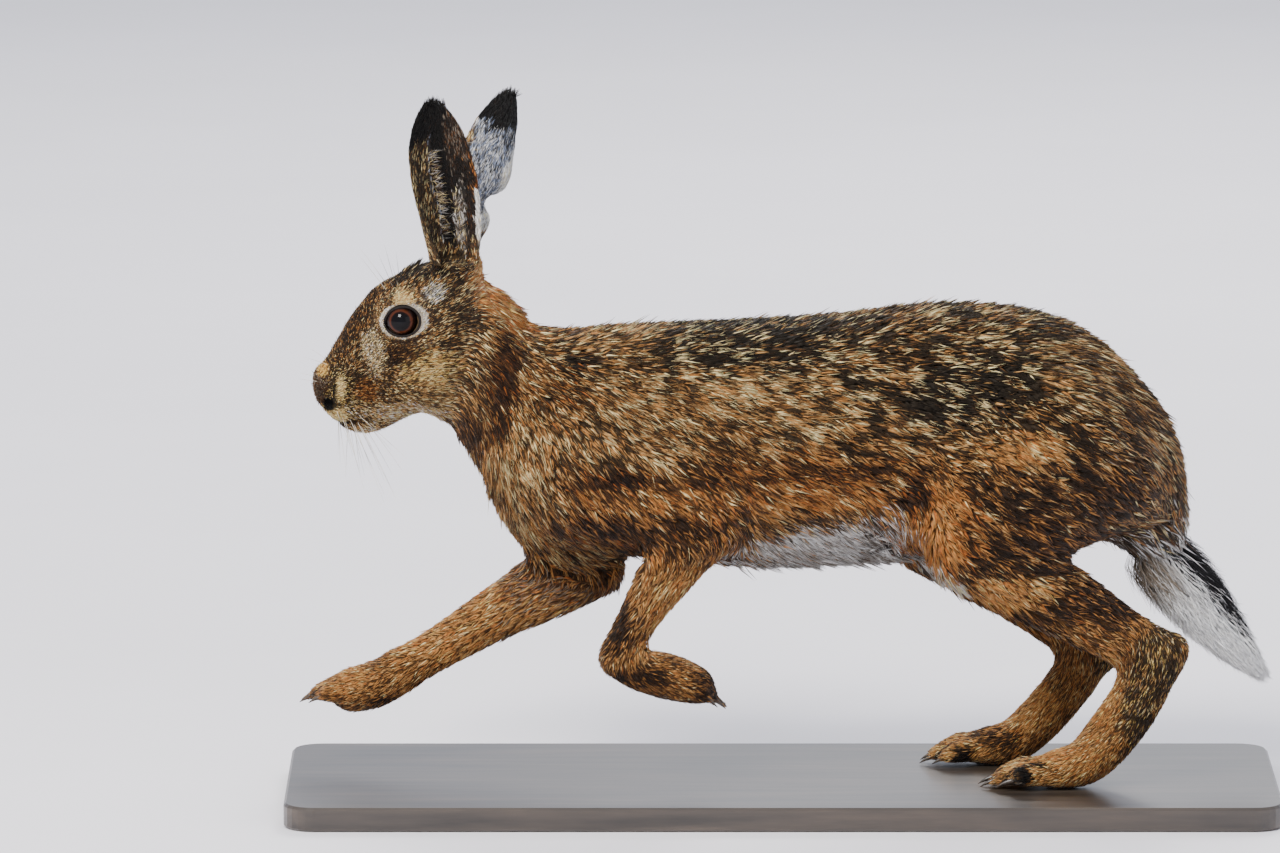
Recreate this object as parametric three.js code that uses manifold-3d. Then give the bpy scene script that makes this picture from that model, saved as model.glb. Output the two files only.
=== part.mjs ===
// A brown hare in mid-stride, life size, in millimetres. +Z is up, the nose points to -X and the
// left side faces -Y. The hind feet stand on a flat board, and both forefeet are in the air.
// The body is one smooth skin, described by a distance field, and parted into its limbs by thin cuts.
import * as THREE from 'three';
import { mergeVertices } from 'three/addons/utils/BufferGeometryUtils.js';
import Module from 'manifold-3d';

const wasm = await Module();
wasm.setup();
const { Manifold, Mesh } = wasm;

// Driving sizes
const GAP = 0.3; // between nodes that touch
const BOARD = { length: 566, width: 190, thick: 14, corner: 16, edge: 1.5 };
const EYE = { x: -215.7, y: 18.8, z: 267, radius: 10.5 };
const LID = { long: 11.4, high: 9.4, out: 0.3, thick: 1.9, slope: 0.12 };
const MOUTH = [[-236, 210], [-242, 208.2], [-247, 207], [-250.5, 206.3]];
const MOUTH_FRONT = { x: -254, z: 206 };
const NOSTRIL = { x: -260, z: 217.8 };
const EAR_CUT = 299; // height where the ears meet the head
const LEFT = -1;
const RIGHT = 1;
const ACROSS = new THREE.Vector3(0, 1, 0);

// The trunk and the head, as upright sections along X:
// x, top, bottom, half width, and the height where the section is widest
const TRUNK = [
  [-159.3, 178, 162, 10, 170],
  [-152.5, 216, 144, 22, 176],
  [-141.1, 243, 137, 31, 180],
  [-126.8, 256, 133, 37, 182],
  [-104, 261, 131, 41, 184],
  [-60, 263, 125, 44, 184],
  [-10, 265, 122.5, 46, 184],
  [44, 270, 125, 46, 188],
  [95.5, 275, 127, 46, 192],
  [135, 272, 134, 45, 195],
  [169.6, 261, 138, 41, 192],
  [186.7, 248, 138, 38, 185],
  [203.8, 230.5, 136, 34, 176],
  [218, 212, 136, 28, 168],
  [226.6, 193, 138, 20, 164],
  [231, 172, 148, 9, 160],
];
const HEAD = [
  [-266, 226, 221, 3, 223],
  [-264.8, 233.5, 217, 8, 224],
  [-261.5, 239.5, 214, 11, 224],
  [-255.6, 249.5, 209.5, 14, 224],
  [-243.7, 269.4, 203, 17.5, 224],
  [-229.4, 285, 201.5, 21, 232],
  [-218, 291, 206.5, 24.5, 244],
  [-202.6, 296.5, 212.5, 28.5, 252],
  [-185, 296, 209, 30, 250],
  [-166.7, 285.6, 202, 28, 245],
  [-156, 272, 205, 24, 240],
];

// Chains run through [x, y, z, half depth, half width]; y is for the right side and is mirrored
const NECK = [
  [-186.7, 0, 249, 33, 26],
  [-166.7, 0, 232.4, 37, 29],
  [-143.9, 0, 212.2, 43, 33],
  [-118, 0, 194.8, 52, 38],
];
const EAR_ROOT = [
  [-181, 8, 272, 16, 11],
  [-184, 12, 288, 13.5, 10],
  [-186.5, 15, 306, 13, 10],
];
// Ears: x, y, z of the spine, width, half angle of the cup, wall, turn of the opening to the rear
const LEFT_EAR = [
  [-187.5, -14.5, 292, 26, 128, 3.4, 30],
  [-188, -16.5, 303, 29, 118, 3.2, 30],
  [-189.5, -19.5, 317, 34, 102, 3, 28],
  [-191.4, -22.5, 332, 38, 86, 2.8, 24],
  [-193.8, -25.5, 348, 40, 74, 2.6, 20],
  [-196.2, -28, 364, 38, 66, 2.5, 18],
  [-197.6, -30, 377, 32, 60, 2.4, 17],
  [-198.2, -31.2, 387.5, 21, 54, 2.2, 16],
  [-198.2, -32, 394.5, 7, 46, 1.8, 16],
];
const RIGHT_EAR = [
  [-186.5, 14.5, 292, 25, 128, 3.4, -20],
  [-185, 16.5, 303, 26, 118, 3.2, -20],
  [-180.5, 19.5, 316, 26, 104, 3, -22],
  [-175.5, 22, 329, 25, 92, 2.8, -26],
  [-171, 24.5, 342, 32, 80, 2.6, -30],
  [-165.5, 27.5, 358, 34, 70, 2.5, -32],
  [-161, 30, 371, 31, 62, 2.4, -34],
  [-157, 32, 383, 21, 54, 2.2, -34],
  [-154.5, 33.2, 392, 7, 46, 1.8, -34],
];
const LEFT_ARM = {
  shoulder: [
    [-135.4, 22, 195, 28, 18],
    [-104, 30, 180, 29, 17],
    [-70, 35, 166.3, 26, 15],
    [-44, 37, 156, 22, 13],
  ],
  forearm: [
    [-46, 37, 156.8, 23, 13],
    [-61, 37, 132, 18, 11.5],
    [-75.5, 35, 108.8, 14, 10],
    [-86, 33, 91, 11.5, 9.5],
    [-93.5, 32, 77.3, 11, 10.5],
  ],
  paw: [
    [-93.5, 32, 74, 11, 10.5],
    [-81, 32, 68, 12.5, 12.5],
    [-63, 32, 63, 13, 13.5],
    [-50, 32, 59, 11, 12.5],
  ],
};
const RIGHT_ARM = {
  shoulder: [
    [-143.9, 20, 180, 27, 17],
    [-126, 28, 151, 33, 18],
    [-112, 31, 125, 24, 14.5],
  ],
  forearm: [
    [-104, 32, 121, 21, 14],
    [-126.8, 32, 108.5, 21, 13],
    [-161, 31, 90, 16.5, 11.5],
    [-195.2, 28, 69.5, 13, 10],
    [-216.9, 26, 57.4, 12, 11],
  ],
  paw: [
    [-216.9, 26, 57.4, 12, 11],
    [-232.3, 25, 48.5, 13.5, 13],
    [-246, 25, 45, 13, 14],
  ],
};
const LEFT_LEG = {
  thigh: [
    [172, 33, 203, 57, 28],
    [130, 38, 166.5, 44, 24],
    [98, 43, 141.5, 22, 16],
  ],
  shank: [
    [98.3, 43, 140, 21, 16],
    [124, 43, 126.5, 22, 17],
    [149.6, 41, 113.6, 22, 16],
    [175.3, 38, 98.3, 19.5, 14],
    [198.1, 36, 84.5, 16.5, 12],
    [212, 35, 77, 15, 12],
  ],
  heel: [
    [212, 35, 74, 14, 11.5],
    [223.5, 35, 80.5, 9, 8.5],
  ],
  foot: [
    [212, 35, 74.7, 15, 12],
    [200.9, 35, 50.4, 15.5, 12],
    [185.5, 35, 28.4, 15, 12.5],
    [172, 35, 14.5, 13, 14],
    [156, 35, 10.5, 11, 16],
  ],
};
const RIGHT_LEG = {
  thigh: [
    [165, 33, 201, 56, 27],
    [117, 38, 163, 44, 24],
    [80, 42, 134, 22, 16],
  ],
  shank: [
    [80, 42, 132, 21, 16],
    [109, 41, 117, 21, 16],
    [136, 39, 100, 18.5, 14],
    [160, 37, 82.5, 15.5, 12],
    [177, 35, 70, 14.5, 12],
  ],
  heel: [
    [177, 35, 67, 13, 11.5],
    [187, 35, 64.5, 8.5, 8.5],
  ],
  foot: [
    [178, 35, 66, 14.5, 12],
    [166, 35, 46.5, 14, 12],
    [149, 35, 26, 13.5, 12.5],
    [133, 35, 12.6, 12.5, 14],
    [119, 35, 10, 11, 16],
  ],
};
const TAIL = [
  [203, 0, 152, 23, 17],
  [219, 0, 129, 15, 11],
  [232, 0, 110, 10, 8],
  [243, 0, 95, 6.5, 5.5],
  [251, 0, 84, 2.5, 2.5],
];
// The tail out to the tips of its hair, and how its locks are spread over it
const TAIL_COAT = [
  [204, 0, 149, 27, 24],
  [221, 0, 124, 24, 23],
  [236, 0, 103, 20.5, 20],
  [250, 0, 85, 15.5, 16],
  [263, 0, 70, 8.5, 9.5],
  [273, 0, 60, 2.5, 3],
];
const TAIL_LOCKS = { rows: [6, 5, 3], first: 0.24, last: 0.84, reach: 0.62, width: 10.5, thick: 1.5, seed: 7 };
const CLAW = { radius: 1.5, length: 5.5, droop: 0.35 };

// Distance fields

// A value that follows a table smoothly, without overshooting it
function tableCurve(table, column) {
  const xs = table.map((row) => row[0]);
  const ys = table.map((row) => row[column]);
  const slopes = xs.slice(1).map((x, i) => (ys[i + 1] - ys[i]) / (x - xs[i]));
  const tangents = ys.map((y, i) => {
    if (i === 0) return slopes[0];
    if (i === slopes.length) return slopes[i - 1];
    const [before, after] = [slopes[i - 1], slopes[i]];
    return before * after <= 0 ? 0 : (2 * before * after) / (before + after);
  });
  return (x) => {
    let i = 0;
    while (i < xs.length - 2 && x > xs[i + 1]) i++;
    const span = xs[i + 1] - xs[i];
    const t = THREE.MathUtils.clamp((x - xs[i]) / span, 0, 1);
    const [s, u] = [t * t * (3 - 2 * t), t * (1 - t)];
    return ys[i] * (1 - s) + ys[i + 1] * s + span * u * (tangents[i] * (1 - t) - tangents[i + 1] * t);
  };
}

// A body of upright sections: each is an ellipse, or squarer as the power grows
function sectioned(table, power) {
  const step = 0.5;
  const [low, high] = [table[0][0], table[table.length - 1][0]];
  const count = Math.ceil((high - low) / step) + 1;
  const curves = [1, 2, 3, 4].map((column) => tableCurve(table, column));
  const rows = curves.map((curve) => Float64Array.from({ length: count }, (_, i) => curve(low + i * step)));
  const reachAt = (i, y, z) => {
    const level = rows[3][i];
    const rise = z - level;
    const height = rise > 0 ? rows[0][i] - level : level - rows[1][i];
    const size = Math.hypot(y, rise) + 1e-6;
    const share = (Math.abs(y) / rows[2][i]) ** power + (Math.abs(rise) / height) ** power;
    return size / Math.max(share ** (1 / power), 1e-6);
  };
  const field = (x, y, z) => {
    const place = THREE.MathUtils.clamp((x - low) / step, 1, count - 2);
    const i = Math.round(place);
    const beyond = Math.max(low - x, x - high, 0);
    const reach = reachAt(i, y, z) + (place - i) * 0.5 * (reachAt(i + 1, y, z) - reachAt(i - 1, y, z));
    const slope = (reachAt(i + 1, y, z) - reachAt(i - 1, y, z)) / (2 * step);
    const radial = (Math.hypot(y, z - rows[3][i]) - reach) / Math.hypot(1, slope);
    return beyond > 0 ? Math.hypot(Math.max(radial, 0), beyond) : radial;
  };
  return { field, centre: [(low + high) / 2, 0, 190], reach: (high - low) / 2 + 75 };
}

// A limb through stations, with oval sections that change smoothly between them
function limb(stations, side = RIGHT, across = ACROSS) {
  const line = new THREE.CatmullRomCurve3(stations.map(([x, y, z]) => new THREE.Vector3(x, y * side, z)));
  const sizes = new THREE.CatmullRomCurve3(
    stations.map((row) => new THREE.Vector3(row[3], row[4], 0)),
    false,
    'catmullrom',
  );
  const steps = (stations.length - 1) * 4;
  const links = [];
  for (let i = 0; i < steps; i++) {
    const [a, b] = [line.getPoint(i / steps), line.getPoint((i + 1) / steps)];
    const [sizeA, sizeB] = [sizes.getPoint(i / steps), sizes.getPoint((i + 1) / steps)];
    const along = b.clone().sub(a);
    const length = along.length();
    along.normalize();
    const sideways = across.clone().addScaledVector(along, -across.dot(along)).normalize();
    const forward = new THREE.Vector3().crossVectors(sideways, along);
    links.push({ a, length, along, sideways, forward, sizeA, sizeB });
  }
  const field = (x, y, z) => {
    let best = Infinity;
    for (const { a, length, along, sideways, forward, sizeA, sizeB } of links) {
      const [dx, dy, dz] = [x - a.x, y - a.y, z - a.z];
      const run = dx * along.x + dy * along.y + dz * along.z;
      const t = Math.min(Math.max(run / length, 0), 1);
      const off = run - t * length;
      const deep = sizeA.x + (sizeB.x - sizeA.x) * t;
      const wide = sizeA.y + (sizeB.y - sizeA.y) * t;
      const out = dx * sideways.x + dy * sideways.y + dz * sideways.z;
      const fore = dx * forward.x + dy * forward.y + dz * forward.z;
      const size = Math.hypot(out, fore, off);
      const share = Math.hypot(out / wide, fore / deep, off / Math.min(deep, wide));
      best = Math.min(best, share < 1e-6 ? -Math.min(deep, wide) : size * (1 - 1 / share));
    }
    return best;
  };
  const box = new THREE.Box3().setFromPoints(line.getPoints(steps));
  const centre = box.getCenter(new THREE.Vector3());
  const widest = Math.max(...stations.map((row) => Math.max(row[3], row[4])));
  return { field, centre: centre.toArray(), reach: box.getSize(new THREE.Vector3()).length() / 2 + widest };
}

// An ellipsoid, tipped about Y by a pitch in degrees
function lump([x0, y0, z0], [rx, ry, rz], pitch = 0) {
  const [c, s] = [Math.cos((pitch * Math.PI) / 180), Math.sin((pitch * Math.PI) / 180)];
  const field = (x, y, z) => {
    const [dx, dy, dz] = [x - x0, y - y0, z - z0];
    const [u, w] = [dx * c + dz * s, dz * c - dx * s];
    const share = Math.hypot(u / rx, dy / ry, w / rz);
    return share < 1e-6 ? -Math.min(rx, ry, rz) : Math.hypot(u, dy, w) * (1 - 1 / share);
  };
  return { field, centre: [x0, y0, z0], reach: Math.max(rx, ry, rz) };
}

// Joins fields one after another; each blends into the rest over its own width in millimetres
function blended(parts) {
  return (x, y, z) => {
    let value = Infinity;
    for (const { shape, blend, hollow } of parts) {
      const [cx, cy, cz] = shape.centre;
      const nearest = Math.hypot(x - cx, y - cy, z - cz) - shape.reach;
      if (!hollow && nearest > value + blend) continue;
      if (hollow && nearest > blend) continue;
      const other = hollow ? -shape.field(x, y, z) : shape.field(x, y, z);
      const overlap = Math.max(blend - Math.abs(value - other), 0) / blend;
      const fillet = overlap * overlap * blend * 0.25;
      value = hollow ? Math.max(value, other) + fillet : Math.min(value, other) - fillet;
    }
    return value;
  };
}

// Toes fan out from the foot in a loop; the middle ones are the longest
function toes({ root, tip, spread, radius, lengths }, side) {
  return lengths.map((share, i) => {
    const place = (i - (lengths.length - 1) / 2) * spread;
    const end = [0, 1, 2].map((k) => root[k] + (tip[k] - root[k]) * share);
    const knuckle = [0, 1, 2].map((k) => root[k] + (end[k] - root[k]) * 0.55);
    return limb(
      [
        [root[0], root[1] + place * 0.6, root[2], radius * 1.1, radius],
        [knuckle[0], root[1] + place, knuckle[2] + radius * 0.25, radius, radius * 0.95],
        [end[0], root[1] + place * 1.1, end[2], radius * 0.55, radius * 0.6],
      ],
      side,
    );
  });
}

// Where each toe ends and which way it points
function toeEnds({ root, tip, spread, lengths }, side) {
  return lengths.map((share, i) => {
    const place = (i - (lengths.length - 1) / 2) * spread * 1.1;
    const end = new THREE.Vector3(...[0, 1, 2].map((k) => root[k] + (tip[k] - root[k]) * share));
    const heading = end.clone().sub(new THREE.Vector3(...root)).normalize();
    return { end: end.add(new THREE.Vector3(0, place, 0)).multiply(new THREE.Vector3(1, side, 1)), heading };
  });
}

function claws(digits, side) {
  return toeEnds(digits, side).map(({ end, heading }) => {
    const down = new THREE.Vector3(0, 0, -CLAW.length * CLAW.droop);
    const start = end.clone().addScaledVector(heading, -1.5);
    const tip = end.clone().addScaledVector(heading, CLAW.length).add(down);
    if (tip.z < 0.8) tip.z = 0.8;
    const middle = start.clone().lerp(tip, 0.5).addScaledVector(down, -0.25);
    const path = new THREE.QuadraticBezierCurve3(start, middle, tip);
    return blade(path, ACROSS, { width: 2 * CLAW.radius, thick: 1.6 * CLAW.radius, sides: 5, steps: 2, bulge: 0 });
  });
}

const HIND_TOES = {
  [LEFT]: { root: [150, 35, 9.5], tip: [118, 35, 4.5], spread: 8.6, radius: 6.6, lengths: [0.74, 1, 0.97, 0.7] },
  [RIGHT]: { root: [113, 35, 9.5], tip: [86, 35, 4.5], spread: 8.6, radius: 6.6, lengths: [0.74, 1, 0.97, 0.7] },
};
const FORE_TOES = {
  [LEFT]: { root: [-57, 32, 60], tip: [-37.5, 32, 50.5], spread: 6.6, radius: 5.6, lengths: [0.78, 1, 0.96, 0.72] },
  [RIGHT]: { root: [-248, 25, 46], tip: [-270.5, 25, 42], spread: 6.6, radius: 5.8, lengths: [0.76, 1, 0.96, 0.7] },
};

const part = (shape, blend) => ({ shape, blend });
const pair = (make, blend) => [LEFT, RIGHT].map((side) => part(make(side), blend));

const headShapes = [
  part(sectioned(HEAD, 2.15), 1),
  ...pair((side) => lump([-215.5, 15 * side, 268], [17, 9.5, 14], -20), 6), // round of the socket
  ...pair((side) => lump([-204, 20 * side, 236], [24, 10, 15], -22), 10), // cheek
  ...pair((side) => lump([-249, 8.5 * side, 219], [14, 8.5, 12.5], -20), 4), // whisker pad
  part(lump([-243, 0, 206], [13, 9, 6.5], -18), 4), // lower jaw and chin
  part(lump([-261, 0, 227], [6, 8.5, 11], 12), 4), // nose
  ...pair((side) => limb(EAR_ROOT, side), 9),
];
const limbShapes = (side, arm, leg) => [
  part(limb(arm.shoulder, side), 16),
  part(limb(arm.forearm, side), 10),
  part(limb(arm.paw, side), 5),
  ...toes(FORE_TOES[side], side).map((toe) => part(toe, 2.5)),
  part(limb(leg.thigh, side), 16),
  part(limb(leg.shank, side), 10),
  part(limb(leg.foot, side), 8),
  part(limb(leg.heel, side), 6),
  ...toes(HIND_TOES[side], side).map((toe) => part(toe, 2.5)),
];
const skin = blended([
  part(sectioned(TRUNK, 2.2), 1),
  part(limb(NECK), 18),
  ...headShapes.map(({ shape, blend }, i) => part(shape, i ? blend : 12)),
  ...limbShapes(LEFT, LEFT_ARM, LEFT_LEG),
  ...limbShapes(RIGHT, RIGHT_ARM, RIGHT_LEG),
  part(limb(TAIL), 8),
  part(lump([-138, 0, 251], [15, 12, 7], 22), 6), // tuft at the end of the nape
]);

// Meshing

// The surface of a field inside a block that is turned to run from one point to another.
// The grid is moved on a little where two folds of the surface would share an edge.
function surface(field, block) {
  for (const shift of [0, 0.31, 0.62, 0.17, 0.48, 0.79]) {
    const { points, faces } = netted(field, block, shift);
    const seen = new Set();
    const shared = faces.some(([a, b, c]) =>
      [`${a}_${b}`, `${b}_${c}`, `${c}_${a}`].some((edge) => seen.size === seen.add(edge).size),
    );
    if (!shared) return closedBody(points, faces.flat());
  }
  throw new Error('no grid position gives a clean surface');
}

// One vertex sits in each cell that the surface crosses, and slides along the slope onto it
function netted(field, { from, to, wide, deep, cell }, shift) {
  const along = new THREE.Vector3(...to).sub(new THREE.Vector3(...from));
  const length = along.length();
  along.normalize();
  const across = ACROSS.clone().addScaledVector(along, -ACROSS.dot(along)).normalize();
  const upward = new THREE.Vector3().crossVectors(along, across);
  const half = [length / 2, wide, deep];
  const counts = half.map((h, k) => Math.ceil((2 * h) / cell[k]) + 5);
  const middle = new THREE.Vector3(...from).addScaledVector(along, length / 2);
  const place = (i, j, k) => {
    const [u, v, w] = [i, j, k].map((n, axis) => (n - (counts[axis] - 1) / 2 + (shift - 0.4)) * cell[axis]);
    return middle.clone().addScaledVector(along, u).addScaledVector(across, v).addScaledVector(upward, w);
  };
  const offset = new THREE.Vector3();
  const inside = (p) => {
    offset.copy(p).sub(middle);
    const walls = [along, across, upward].map((axis, k) => Math.abs(offset.dot(axis)) - half[k]);
    return Math.max(field(p.x, p.y, p.z), ...walls);
  };

  const index = (i, j, k) => (i * counts[1] + j) * counts[2] + k;
  const values = new Float64Array(counts[0] * counts[1] * counts[2]);
  for (let i = 0; i < counts[0]; i++)
    for (let j = 0; j < counts[1]; j++)
      for (let k = 0; k < counts[2]; k++) values[index(i, j, k)] = inside(place(i, j, k));

  const corners = [0, 1, 2, 3, 4, 5, 6, 7].map((n) => [n & 1, (n >> 1) & 1, (n >> 2) & 1]);
  const edges = [];
  corners.forEach((a, m) =>
    corners.forEach((b, n) => {
      if (m < n && Math.abs(a[0] - b[0]) + Math.abs(a[1] - b[1]) + Math.abs(a[2] - b[2]) === 1) edges.push([a, b]);
    }),
  );
  const points = [];
  const cellPoint = new Map();
  for (let i = 0; i < counts[0] - 1; i++)
    for (let j = 0; j < counts[1] - 1; j++)
      for (let k = 0; k < counts[2] - 1; k++) {
        const sum = [0, 0, 0];
        let crossings = 0;
        for (const [a, b] of edges) {
          const va = values[index(i + a[0], j + a[1], k + a[2])];
          const vb = values[index(i + b[0], j + b[1], k + b[2])];
          if (va < 0 === vb < 0) continue;
          const t = va / (va - vb);
          for (let axis = 0; axis < 3; axis++) sum[axis] += a[axis] + (b[axis] - a[axis]) * t;
          crossings++;
        }
        if (!crossings) continue;
        const p = place(i + sum[0] / crossings, j + sum[1] / crossings, k + sum[2] / crossings);
        cellPoint.set(index(i, j, k), points.length);
        points.push(slide(p, inside, Math.min(...cell)));
      }

  const faces = [];
  const quad = (a, b, c, d, flip) => {
    const ids = [a, b, c, d].map((key) => cellPoint.get(key));
    if (flip) ids.reverse();
    const [p, q, r, s] = ids.map((id) => points[id]);
    if (p.distanceTo(r) < q.distanceTo(s)) faces.push([ids[0], ids[1], ids[2]], [ids[0], ids[2], ids[3]]);
    else faces.push([ids[1], ids[2], ids[3]], [ids[1], ids[3], ids[0]]);
  };
  for (let i = 1; i < counts[0] - 1; i++)
    for (let j = 1; j < counts[1] - 1; j++)
      for (let k = 1; k < counts[2] - 1; k++) {
        const here = values[index(i, j, k)] < 0;
        if (here !== values[index(i + 1, j, k)] < 0)
          quad(index(i, j - 1, k - 1), index(i, j, k - 1), index(i, j, k), index(i, j - 1, k), !here);
        if (here !== values[index(i, j + 1, k)] < 0)
          quad(index(i - 1, j, k - 1), index(i - 1, j, k), index(i, j, k), index(i, j, k - 1), !here);
        if (here !== values[index(i, j, k + 1)] < 0)
          quad(index(i - 1, j - 1, k), index(i, j - 1, k), index(i, j, k), index(i - 1, j, k), !here);
      }
  return { points, faces };
}

// Moves a point along the slope of a field until it lies on the surface
function slide(p, field, limit) {
  const start = p.clone();
  const reach = 0.05;
  for (let step = 0; step < 3; step++) {
    const value = field(p);
    const slope = new THREE.Vector3(
      field(p.clone().setX(p.x + reach)) - value,
      field(p.clone().setY(p.y + reach)) - value,
      field(p.clone().setZ(p.z + reach)) - value,
    ).divideScalar(reach);
    const steep = slope.lengthSq();
    if (steep < 1e-4) break;
    p.addScaledVector(slope, -value / steep);
  }
  const moved = p.clone().sub(start);
  return moved.length() > limit * 0.6 ? start.addScaledVector(moved.normalize(), limit * 0.6) : p;
}

// Solids

// Points and the triangles between them, as a solid; triangles that face inwards are turned round
function closedBody(points, triangles) {
  const vertProperties = Float32Array.from(points.flatMap((p) => p.toArray()));
  const solid = new Manifold(new Mesh({ numProp: 3, vertProperties, triVerts: Uint32Array.from(triangles) }));
  if (solid.volume() > 0) return solid;
  return new Manifold(new Mesh({ numProp: 3, vertProperties, triVerts: Uint32Array.from(triangles).reverse() }));
}

// A closed geometry as a solid, with its seams joined
function solidOf(geometry) {
  const plain = new THREE.BufferGeometry().setAttribute('position', geometry.getAttribute('position'));
  plain.setIndex(geometry.index);
  const merged = mergeVertices(plain, 1e-3);
  const { position } = merged.attributes;
  const points = Array.from({ length: position.count }, (_, i) => new THREE.Vector3().fromBufferAttribute(position, i));
  return closedBody(points, merged.index.array);
}

// A solid as a geometry with flat faces
function geometryOf(solid) {
  const { vertProperties, triVerts } = solid.getMesh();
  const geometry = new THREE.BufferGeometry();
  geometry.setAttribute('position', new THREE.BufferAttribute(vertProperties.slice(), 3));
  geometry.setIndex(new THREE.BufferAttribute(triVerts.slice(), 1));
  const flat = geometry.toNonIndexed();
  flat.computeVertexNormals();
  return flat;
}

const largest = (solid) => solid.decompose().reduce((a, b) => (b.volume() > a.volume() ? b : a));

// Rings of equal counts of points, joined into one closed body or, in a loop, into a hoop
function ringed(rings, hoop = false) {
  const [turns, count] = [rings.length, rings[0].length];
  const faces = [];
  for (let i = 0; i < (hoop ? turns : turns - 1); i++)
    for (let j = 0; j < count; j++) {
      const [a, b] = [i * count + j, i * count + ((j + 1) % count)];
      const [c, d] = [b, a].map((n) => (n + count) % (turns * count));
      faces.push(a, b, c, a, c, d);
    }
  const last = (turns - 1) * count;
  for (let j = 1; j < count - 1 && !hoop; j++) {
    faces.push(0, j + 1, j);
    faces.push(last, last + j, last + j + 1);
  }
  return closedBody(rings.flat(), faces);
}

// A flat blade along a path: it is widest across the outward direction and tapers to its tip
function blade(path, outward, { width, thick, sides = 4, steps = 3, bulge = 0.35 }) {
  const rings = [];
  for (let i = 0; i <= steps; i++) {
    const t = i / steps;
    const along = path.getTangent(t);
    const across = new THREE.Vector3().crossVectors(along, outward).normalize();
    const face = new THREE.Vector3().crossVectors(across, along);
    const taper = Math.max((1 + 4 * bulge * t) * (1 - t * t), 0.06);
    rings.push(
      Array.from({ length: sides }, (_, j) => {
        const angle = (j / sides) * 2 * Math.PI;
        return path
          .getPoint(t)
          .addScaledVector(across, Math.cos(angle) * width * 0.5 * taper)
          .addScaledVector(face, Math.sin(angle) * thick * 0.5 * Math.max(1 - t, 0.15));
      }),
    );
  }
  return ringed(rings);
}

// Numbers between 0 and 1 that are the same at every run
function seeded(seed) {
  let state = seed;
  return () => {
    state = (state * 16807) % 2147483647;
    return state / 2147483647;
  };
}

// The point of the skin straight out to one side at a place in side view
function onSkin(x, z, side) {
  let [low, high] = [0, 70];
  for (let i = 0; i < 24; i++) {
    const y = (low + high) / 2;
    if (skin(x, y * side, z) < 0) low = y;
    else high = y;
  }
  return new THREE.Vector3(x, low * side, z);
}

// Cuts are planes: a point in side view, and the direction that counts as ahead
function plane(x, z, ahead, y = 0, sideways = 0) {
  const normal = new THREE.Vector3(ahead[0], sideways, ahead[1]).normalize();
  return { normal, level: normal.dot(new THREE.Vector3(x, y, z)) };
}
const ahead = (solid, { normal, level }, gap = GAP / 2) => solid.trimByPlane(normal.toArray(), level + gap);
const behind = (solid, { normal, level }, gap = GAP / 2) =>
  solid.trimByPlane(normal.clone().negate().toArray(), gap - level);

// A block whose front face is centred on a point and looks along a direction
function block([x, y, z], direction, width, depth) {
  const solid = new THREE.BoxGeometry(width, width, depth).translate(0, 0, -depth / 2);
  const turn = new THREE.Quaternion().setFromUnitVectors(
    new THREE.Vector3(0, 0, 1),
    new THREE.Vector3(...direction).normalize(),
  );
  solid.applyQuaternion(turn).translate(x, y, z);
  return solidOf(solid);
}

// Everything inside a set of half spaces, each moved outwards by a margin
function corner(halves, margin) {
  const everything = solidOf(new THREE.BoxGeometry(900, 400, 900));
  return halves.reduce(
    (solid, { cut, side }) => (side > 0 ? ahead(solid, cut, -margin) : behind(solid, cut, -margin)),
    everything,
  );
}

const cuts = {
  nape: plane(-181, 251, [0.97, -0.244]),
  collar: plane(-149, 214.5, [0.922, -0.386]),
  ribs: plane(-22, 195, [1, 0]),
  flank: plane(28, 195, [1, 0]),
  dock: plane(211.8, 131.2, [0.52, -0.85]),
  armpit: plane(0, 0, [0, 0], 21, 1),
  groin: plane(0, 0, [0, 0], 22, 1),
  shoulderTop: plane(-143.9, 233.7, [0.39, 0.92]),
  hipTop: plane(124, 222, [0, 1]),
};
const mirrored = ({ normal, level }, side) => ({
  normal: new THREE.Vector3(normal.x, normal.y * side, normal.z),
  level,
});
const limbCuts = {
  [LEFT]: {
    elbow: plane(-53.6, 138.9, [0.276, -0.961]),
    wrist: plane(-86, 75.5, [0.234, -0.972]),
    thighFront: plane(69.8, 160, [-0.747, 0.665]),
    knee: plane(143.9, 117.3, [0.452, -0.892]),
    hock: { point: [196, -36, 87], direction: [0.85, 0, -0.53] },
  },
  [RIGHT]: {
    elbow: plane(-123.7, 112.9, [-0.261, -0.965]),
    wrist: plane(-216, 57, [-0.9, -0.436]),
    thighFront: plane(64, 160, [-0.747, 0.665]),
    knee: plane(123, 109, [0.452, -0.892]),
    hock: { point: [162, 36, 81], direction: [0.82, 0, -0.57] },
  },
};
const armRegion = (side) => [
  { cut: mirrored(cuts.armpit, side), side: 1 },
  { cut: cuts.shoulderTop, side: -1 },
  { cut: cuts.collar, side: 1 },
  { cut: cuts.ribs, side: -1 },
];
const thighRegion = (side) => [
  { cut: mirrored(cuts.groin, side), side: 1 },
  { cut: limbCuts[side].thighFront, side: -1 },
  { cut: cuts.hipTop, side: -1 },
];

// Nodes
const group = new THREE.Group();
const raised = new THREE.Group();
raised.position.z = BOARD.thick;
group.add(raised);

const finishes = {
  coat: new THREE.MeshStandardMaterial({ color: 0x8a6844, roughness: 0.95, metalness: 0 }),
  leg: new THREE.MeshStandardMaterial({ color: 0xa9713a, roughness: 0.95, metalness: 0 }),
  ear: new THREE.MeshStandardMaterial({ color: 0x6d5a45, roughness: 0.9, metalness: 0 }),
  tail: new THREE.MeshStandardMaterial({ color: 0xe6e2dc, roughness: 0.95, metalness: 0 }),
  eye: new THREE.MeshStandardMaterial({ color: 0x2a1408, roughness: 0.08, metalness: 0 }),
  board: new THREE.MeshStandardMaterial({ color: 0x3b3733, roughness: 0.6, metalness: 0 }),
};

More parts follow.
